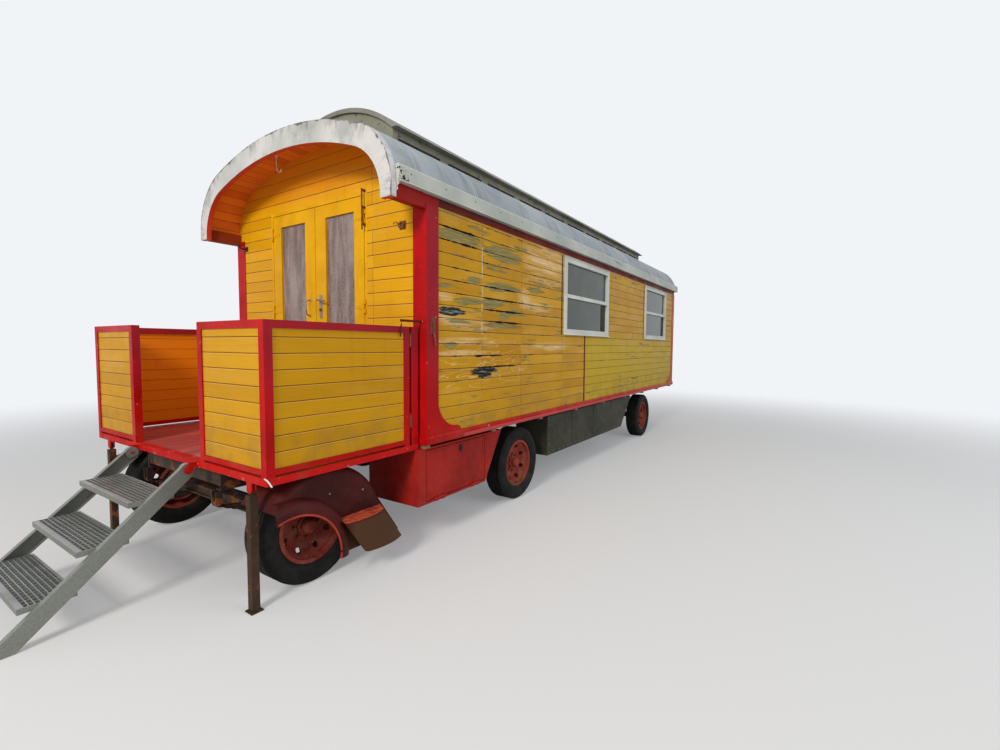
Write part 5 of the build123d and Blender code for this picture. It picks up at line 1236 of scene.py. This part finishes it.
# %% Deck pin and canopy hook
white_metal = steel_paint("white_fittings", (0.62, 0.62, 0.58), (0.76, 0.76, 0.72), -0.12, 0.1)
pin = Build()
pin.tube([point(1.1840, 1.176, 0.786), point(1.1850, 1.199, 0.782), point(1.1850, 1.222, 0.770),
          point(1.1850, 1.245, 0.753)], 0.0042, 8)
pin.end("deck_corner_pin", white_metal, "wagon", "step_metal")
hook = Build()
hook.tube([point(0.150, -0.327, 3.116), point(0.150, -0.327, 3.050), point(0.148, -0.322, 3.000),
           point(0.146, -0.306, 2.976), point(0.146, -0.284, 2.968), point(0.147, -0.266, 2.976),
           point(0.148, -0.258, 2.988)], 0.0042, 8)
hook.lathe(point(0.150, -0.327, 3.105), (0, 0, 1), [(0.0, 0.011), (0.016, 0.013)], 14)
hook.end("canopy_hook", white_metal, "wagon", "step_metal")
print("pin and hook placed")

# %% [markdown]
# ## Window trim
# A sash window sheds rain with a drip cap and a sloped sill. The lower sash runs in a deeper
# channel than the upper one, which leaves a dark slot beside it. The caps are outlines carried
# along the window, so that their tops slope. The slots, and a gap along each window's near edge,
# are thin dark plates of painted shade.

# %% Window caps and dark channels
SIDE_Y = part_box("side_wall_left")[1].y
WINDOWS = ((-2.230, -3.570), (-5.190, -6.460))  # near and far edge of each
# A near-black sheet used as painted shade in slots, gaps and holes
painted_shade = steel_paint("painted_shade_sheet", (0.020, 0.018, 0.014), (0.040, 0.036, 0.030), -0.1)
for hand, side in (("left", 1), ("right", -1)):
    for number, (near, far) in enumerate(WINDOWS):
        caps = Build()
        inner_y, start = SIDE_Y + 0.0110, near + 0.002
        for low, high, out in ((2.489, 2.501, 0.0270), (1.630, 1.652, 0.0300)):
            outline = [(inner_y, low), (SIDE_Y + out, low), (SIDE_Y + out, low + 0.004),
                       (inner_y, high)]
            caps.prism([point(start, side * y, z) for y, z in outline], (far - near - 0.004, 0, 0))
        caps.end("window_caps_%s_%d" % (hand, number + 1), window_white, "wagon", "fascia_paint")
        # painted shade: dark plates in the lower sash's slot and in the gap along the window's near
        # edge
        channel = Build()
        channel.box(point(far + 0.066, side * (SIDE_Y - 0.0205), 1.700),
                    point(far + 0.216, side * (SIDE_Y - 0.0165), 2.036), 0.001)
        channel.box(point(near + 0.064, side * (SIDE_Y - 0.0032), 1.632),
                    point(near + 0.038, side * (SIDE_Y + 0.0008), 2.494), 0.0005)
        channel.end("window_channel_%s_%d" % (hand, number + 1), painted_shade, "wagon",
                    "chassis_paint")
print("windows dressed", 2 * len(WINDOWS))

# %% [markdown]
# ## The board seam
# Below the first window the boards were once cut and joined. The seam is a dark red strip from
# the window sill's height down to the floor, and on the left side a thin yellow batten lies
# behind it. Both stand out a few millimetres, so they are boxes and not a painted line.

# %% Board seam and batten
SEAM_FOOT, SEAM_TOP = 0.842, 1.629
seam_red = timber_paint("seam_paint", (0.055, 0.010, 0.006), (0.11, 0.018, 0.010),
                        (0.20, 0.08, 0.05))
for hand, side in (("left", 1), ("right", -1)):
    seam = Build()
    seam.box(point(0.014 - SEAM, side * (SIDE_Y - 0.007), SEAM_FOOT),
             point(-0.014 - SEAM, side * (SIDE_Y + 0.0045), SEAM_TOP), 0.0010)
    seam.end("board_seam_" + hand, seam_red, "wagon", "red_trim")
batten = Build()
batten.box(point(-0.012 - SEAM, SIDE_Y - 0.004, SEAM_FOOT),
           point(-0.030 - SEAM, SIDE_Y + 0.0030, SEAM_TOP), 0.001)
batten.end("board_seam_batten", side_yellow, "wagon", "yellow_boards")
print("seam from", SEAM_FOOT, "to", SEAM_TOP)

# %% [markdown]
# ## Nails
# Nails sit in pairs where the boards cross the hidden studs, so two loops over studs and boards
# give every place. A test leaves out the windows and the sill's raised corners.

# %% Wall nails
STUD_LINES = (-0.684, -1.320, -2.213, -3.700, -4.400, -5.120, -6.100, -6.900)
BOARD_COUNT = int((2.50 - WALL_FOOT) / BOARD)


def nailed(x, z):
    """Whether a stud shows a board at this place."""
    at_window = any(far - 0.03 < x < near + 0.03 for near, far in WINDOWS) and z > 1.60
    at_corner = z < 1.08 and (x > -0.42 or x < -6.62)
    return not at_window and not at_corner


middles = [(x, WALL_FOOT + (k + 0.5) * BOARD) for x in STUD_LINES for k in range(BOARD_COUNT)]
for hand, side in (("left", 1), ("right", -1)):
    places = [(point(x, side * (SIDE_Y + 0.0002), z + lift), (0, side, 0))
              for x, z in middles if nailed(x, z) for lift in (-0.022, 0.022)]
    heads("wall_nails_" + hand, places, rusty, "wagon", 0.0036, 0.0012, 8)
print("nails in each side wall", len(places))

# %% [markdown]
# ## The gutter's torn end
# The gutter's front end has rusted through: its lip is torn and bent, with a dark hole behind.
# The hole is a thin dark outline just outside the face, painted shade for its dark inside, and
# the torn lip is a handful of thin scraps at random angles, drawn from a fixed seed so that they
# come out the same each time. A dark sliver under a lifted lap further back is painted shade too.

# %% Hole, scraps and lifted lap
gutter_low, gutter_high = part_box("gutters")
gutter_front, GUTTER_Y = gutter_high.x, gutter_high.y - 0.006
# painted shade: a dark plate and box for the inside of the rusted hole
hole = Build()
edge = [(0.000, 2.586), (0.074, 2.586), (0.080, 2.597), (0.060, 2.600), (0.052, 2.614),
        (0.040, 2.606), (0.030, 2.634), (0.018, 2.622), (0.010, 2.652), (0.000, 2.648)]
hole.prism([Vector((gutter_front - x, GUTTER_Y - 0.003, z)) for x, z in edge], (0, 0.0038, 0))
hole.box((gutter_front - 0.001, GUTTER_Y - 0.030, 2.590),
         (gutter_front + 0.004, GUTTER_Y - 0.001, 2.664))
hole.end("gutter_rusted_hole", painted_shade, "wagon", "chassis_paint")

rng = random.Random(5)
torn = Build()
for _ in range(18):
    x = gutter_front + 0.007 - rng.uniform(0.0, 0.085) * rng.random()
    z = rng.uniform(2.588, 2.664)
    turn, size = rng.uniform(0.0, 2.0 * math.pi), rng.uniform(0.009, 0.018)
    corners = [Vector((x + size * math.cos(turn + a), GUTTER_Y + rng.uniform(0.0008, 0.0045),
                       z + size * math.sin(turn + a))) for a in (0.0, 1.7, 3.4)]
    torn.prism(corners, (0.0, 0.0014, 0.0))
scrap = [(1.250, 2.650), (1.284, 2.655), (1.292, 2.630), (1.279, 2.612), (1.290, 2.596),
         (1.274, 2.580), (1.284, 2.556), (1.266, 2.545), (1.272, 2.520), (1.250, 2.512)]
torn.prism([point(0.2925, y, z) for y, z in scrap], (0.0035, 0.0, 0.0))
torn.end("gutter_torn_end", eave_grey, "wagon", "eave_metal", 20.0)
# painted shade: a dark sliver under the lifted lap
lifted = Build()
lifted.prism([point(x, GUTTER_Y - 0.0020, z) for x, z in ((-3.660, 2.663), (-3.745, 2.646),
                                                          (-4.050, 2.627))], (0.0, 0.0030, 0.0))
lifted.end("gutter_lifted_lap", painted_shade, "wagon", "chassis_paint")
print("gutter torn at x", round(gutter_front, 3))

# %% [markdown]
# ## Gutter bead and rivets
# The gutter's upper edge is rolled into a bead, and a row of rivets holds it to the wall plate.
# The bead is a straight bar on each side, painted white, paler than the gutter, as a painted
# highlight along the edge. The rivets come from the head group.

# %% Ridge beads and rivets
for hand, side in (("left", 1), ("right", -1)):
    # painted highlight: the bead is white, paler than the grey gutter, for light along the edge
    ridge = Build()
    ridge.tube([Vector((x, side * 1.2660, 2.6885))
                for x in (gutter_front - 0.004, gutter_low.x + 0.004)], 0.0050, 8)
    ridge.end("gutter_ridge_" + hand, window_white, "wagon", "eave_metal")
    rivets = [gutter_low.x + 0.15 + 0.36 * k for k in range(21)]
    places = [(Vector((x, side * (GUTTER_Y + 0.0002), 2.640)), (0, side, 0))
              for x in rivets if x < gutter_high.x - 0.1]
    heads("gutter_rivets_" + hand, places, fitting_black, "wagon", 0.0055, 0.0022, 8)
print("rivets in each gutter", len(places))

# %% [markdown]
# ## Lockers
# The red locker's flap has a folded rim and closes with a turn button. The CAD flap is flat, so
# four thin bars make the rim. They and the catch ride on the flap, and the joint strip beside it
# stays on the wagon.

# %% Locker rims and catches
PLATE_Y, RIM = 1.2195, 0.016
x0, x1, z0, z1 = -0.752, -0.048, 0.362, 0.706
BARS = (((x0, z0), (x1, z0 + RIM)), ((x0, z1 - RIM), (x1, z1)),
        ((x0, z0 + RIM), (x0 + RIM, z1 - RIM)), ((x1 - RIM, z0 + RIM), (x1, z1 - RIM)))
for hand, side in (("left", 1), ("right", -1)):
    flap = "locker_flap_" + hand
    rim = Build()
    for (xa, za), (xb, zb) in BARS:
        rim.box(point(xa, side * PLATE_Y, za), point(xb, side * (PLATE_Y + 0.003), zb), 0.001)
    rim.end("locker_rim_" + hand, locker_red, flap, "red_sheet")
    catch = Build()
    catch.box(point(-0.412, side * PLATE_Y, 0.662), point(-0.458, side * 1.2235, 0.704), 0.001)
    catch.lathe(point(-0.435, side * 1.223, 0.690), (0, side, 0),
                [(0.0, 0.010), (0.006, 0.009), (0.008, 0.004)], 14)
    catch.box(point(-0.429, side * 1.229, 0.694), point(-0.441, side * 1.234, 0.646), 0.0012)
    catch.end("locker_catch_" + hand, fitting_black, flap, "chassis_paint")
    joint = Build()
    joint.box(point(-0.797, side * PLATE_Y, 0.345), point(-0.809, side * 1.2222, 0.735), 0.0008)
    joint.end("locker_joint_" + hand, locker_red, "wagon", "red_sheet")
print("locker flap rims", [round(x1 - x0, 3), round(z1 - z0, 3)])

# %% [markdown]
# ## Grey boxes
# The grey box behind the locker is riveted along its foot and its front edge, and its sheets lap
# at three places. The rivets come from the head group, and the laps are thin plates.

# %% Side box rivets and laps
box_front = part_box("side_boxes")[1].x
spots = [(box_front - 0.05 - 0.115 * k, 0.345) for k in range(20)]
spots += [(box_front - 0.030, z) for z in (0.44, 0.54, 0.64, 0.72)]
for hand, side in (("left", 1), ("right", -1)):
    heads("side_box_rivets_" + hand,
          [(Vector((x, side * 1.2002, z)), (0, side, 0)) for x, z in spots],
          zinc, "wagon", 0.0055, 0.0022, 8)
    laps = Build()
    for x in (-2.60, -3.25, -3.90):
        laps.box(point(x, side * 1.1995, 0.330), point(x - 0.016, side * 1.2025, 0.735), 0.001)
    laps.end("side_box_laps_" + hand, box_grey, "wagon", "grey_sheet")
print("rivets in each side box", len(spots))

# %% [markdown]
# ## Mudguards
# A wire is rolled into the lip of the pressed guard, round the wheel opening. It stops a thin
# edge from cracking, and it shows as a bead, so it is a bent round bar along that circle.

# %% Mudguard bead and bolts
worn_red = steel_paint("worn_bead_red", (0.20, 0.022, 0.016), (0.42, 0.050, 0.026), 0.0, 0.15)
GUARD_WALL, GUARD_LIP, LIP_R = 1.105, 1.165, 0.311
LIP_X, LIP_Z = 1.000, 0.210  # middle of the lip's circle
for hand, side in (("left", 1), ("right", -1)):
    bead = Build()
    bead.tube([point(LIP_X + LIP_R * math.cos(a), side * (GUARD_LIP - 0.001),
                     LIP_Z + LIP_R * math.sin(a))
               for a in map(math.radians, range(70, 188, 3))], 0.0068, 10)
    bead.end("mudguard_bead_" + hand, worn_red, "wagon", "guard_paint")
    bolts = [(point(x, side * (GUARD_WALL + 0.0002), z), (0, side, 0))
             for x, z in ((0.470, 0.540), (0.729, 0.576))]
    heads("mudguard_bolts_" + hand, bolts, zinc, "wagon", 0.0080, 0.0040, 6)
print("mudguard beads at y", GUARD_LIP)

# %% [markdown]
# ## Step gratings
# A grating tread is made of bearing bars on edge with thin cross rods pressed into them. The
# bars are in the CAD model. The rods and the wider nosing bars at the front and back of each
# tread are added here.

# %% Cross rods and nosings
TREAD_GO, TREAD_RISE, NOSE_Y = 0.233, 0.200, 0.3935
rods, nosing = Build(), Build()
for number in range(3):
    back, top = 1.300 + TREAD_GO * number, 0.600 - TREAD_RISE * number
    for k in range(1, 10):
        x = back + 0.232 * k / 10
        rods.box(point(x - 0.0022, -0.390, top - 0.0060), point(x + 0.0022, 0.390, top + 0.0004),
                 0.0)
    for start, end in ((0.2040, 0.2315), (0.0010, 0.0120)):
        nosing.box(point(back + start, -NOSE_Y, top - 0.012),
                   point(back + end, NOSE_Y, top + 0.0012), 0.001)
rods.end("tread_cross_rods", galvanised, "steps", "step_metal")
nosing.end("tread_nosings", galvanised, "steps", "step_metal")

# %% [markdown]
# ## Studio floor
# A plain pale floor catches the shadow. Far from the wagon it turns into a glow of the
# backdrop's colour, so that no horizon shows. Only the camera sees the glow, as Light Path keeps
# it from lighting anything.

# %% Studio floor
BACKDROP, HALF_FLOOR = (0.88, 0.90, 0.93), 40
floor_mesh = bpy.data.meshes.new("studio_floor")
floor_mesh.from_pydata([(x * HALF_FLOOR, y * HALF_FLOOR, -0.001)
                        for x, y in ((-1, -1), (1, -1), (1, 1), (-1, 1))], [], [(0, 1, 2, 3)])
studio_floor = bpy.data.objects.new("studio_floor", floor_mesh)
scene.collection.objects.link(studio_floor)
p = Paint("studio_floor")
floor_paint = p.done((0.74, 0.74, 0.73), 0.9, Specular_IOR_Level=0.1)
far = (p.x * p.x + p.y * p.y).math("SQRT").ramp(5.0, 13.0, 0.22, 1.0)
glow = p.node("ShaderNodeEmission")
glow.inputs["Color"].default_value = (*BACKDROP, 1.0)
blend = p.node("ShaderNodeMixShader")
p.put(blend.inputs[0], far * Val(p, p.node("ShaderNodeLightPath").outputs["Is Camera Ray"]))
p.put(blend.inputs[1], p.shader.outputs[0])
p.put(blend.inputs[2], glow.outputs[0])
p.put(p.output.inputs[0], blend.outputs[0])
floor_mesh.materials.append(floor_paint)
print("floor fades out by 13 m")

# %% [markdown]
# ## World
# The world is dim as a light, so that the lamps can shape the wagon, but a camera, a mirror or
# glass sees it pale. Light Path tells these rays apart.

# %% World
world = bpy.data.worlds.new("studio")
world.use_nodes = True
scene.world = world
sky = world.node_tree
sky.nodes["Background"].inputs[0].default_value = (*BACKDROP, 1.0)
path = sky.nodes.new("ShaderNodeLightPath")
seen = path.outputs["Is Camera Ray"]
for name in ("Is Glossy Ray", "Is Transmission Ray"):
    either = sky.nodes.new("ShaderNodeMath")
    either.operation = "MAXIMUM"
    sky.links.new(seen, either.inputs[0])
    sky.links.new(path.outputs[name], either.inputs[1])
    seen = either.outputs[0]
strength = sky.nodes.new("ShaderNodeMapRange")
strength.inputs["To Min"].default_value, strength.inputs["To Max"].default_value = 0.50, 1.0
sky.links.new(seen, strength.inputs["Value"])
sky.links.new(strength.outputs["Result"], sky.nodes["Background"].inputs[1])
print("world strength 0.5 as light and 1.0 as seen")

# %% [markdown]
# ## Lamps
# One large warm lamp stands where the sun stood, in front of the porch and a little to the left,
# and a wider, weaker and cooler one opens the shadows on the long side.

# %% Lamps
def area_light(name, place, target, size, power, colour):
    """A round soft lamp that looks at its target."""
    data = bpy.data.lights.new(name, "AREA")
    data.shape, data.size, data.energy, data.color = "DISK", size, power, colour
    lamp = bpy.data.objects.new(name, data)
    lamp.location = place
    lamp.rotation_mode = "QUATERNION"
    lamp.rotation_quaternion = (Vector(target) - Vector(place)).to_track_quat("-Z", "Y")
    scene.collection.objects.link(lamp)


area_light("key", point(10.5, 3.2, 7.0), point(0.0, 0.0, 1.4), 3.0, 980.0, (1.0, 0.96, 0.90))
area_light("fill", point(-1.5, 9.5, 5.0), point(-2.5, 0.0, 1.6), 6.0, 200.0, (0.93, 0.96, 1.0))
scene.view_settings.view_transform = "Standard"
print("lamps", len(bpy.data.lights))

# %% [markdown]
# ## The wagon's size
# The dressed wagon has to keep the CAD model's size.
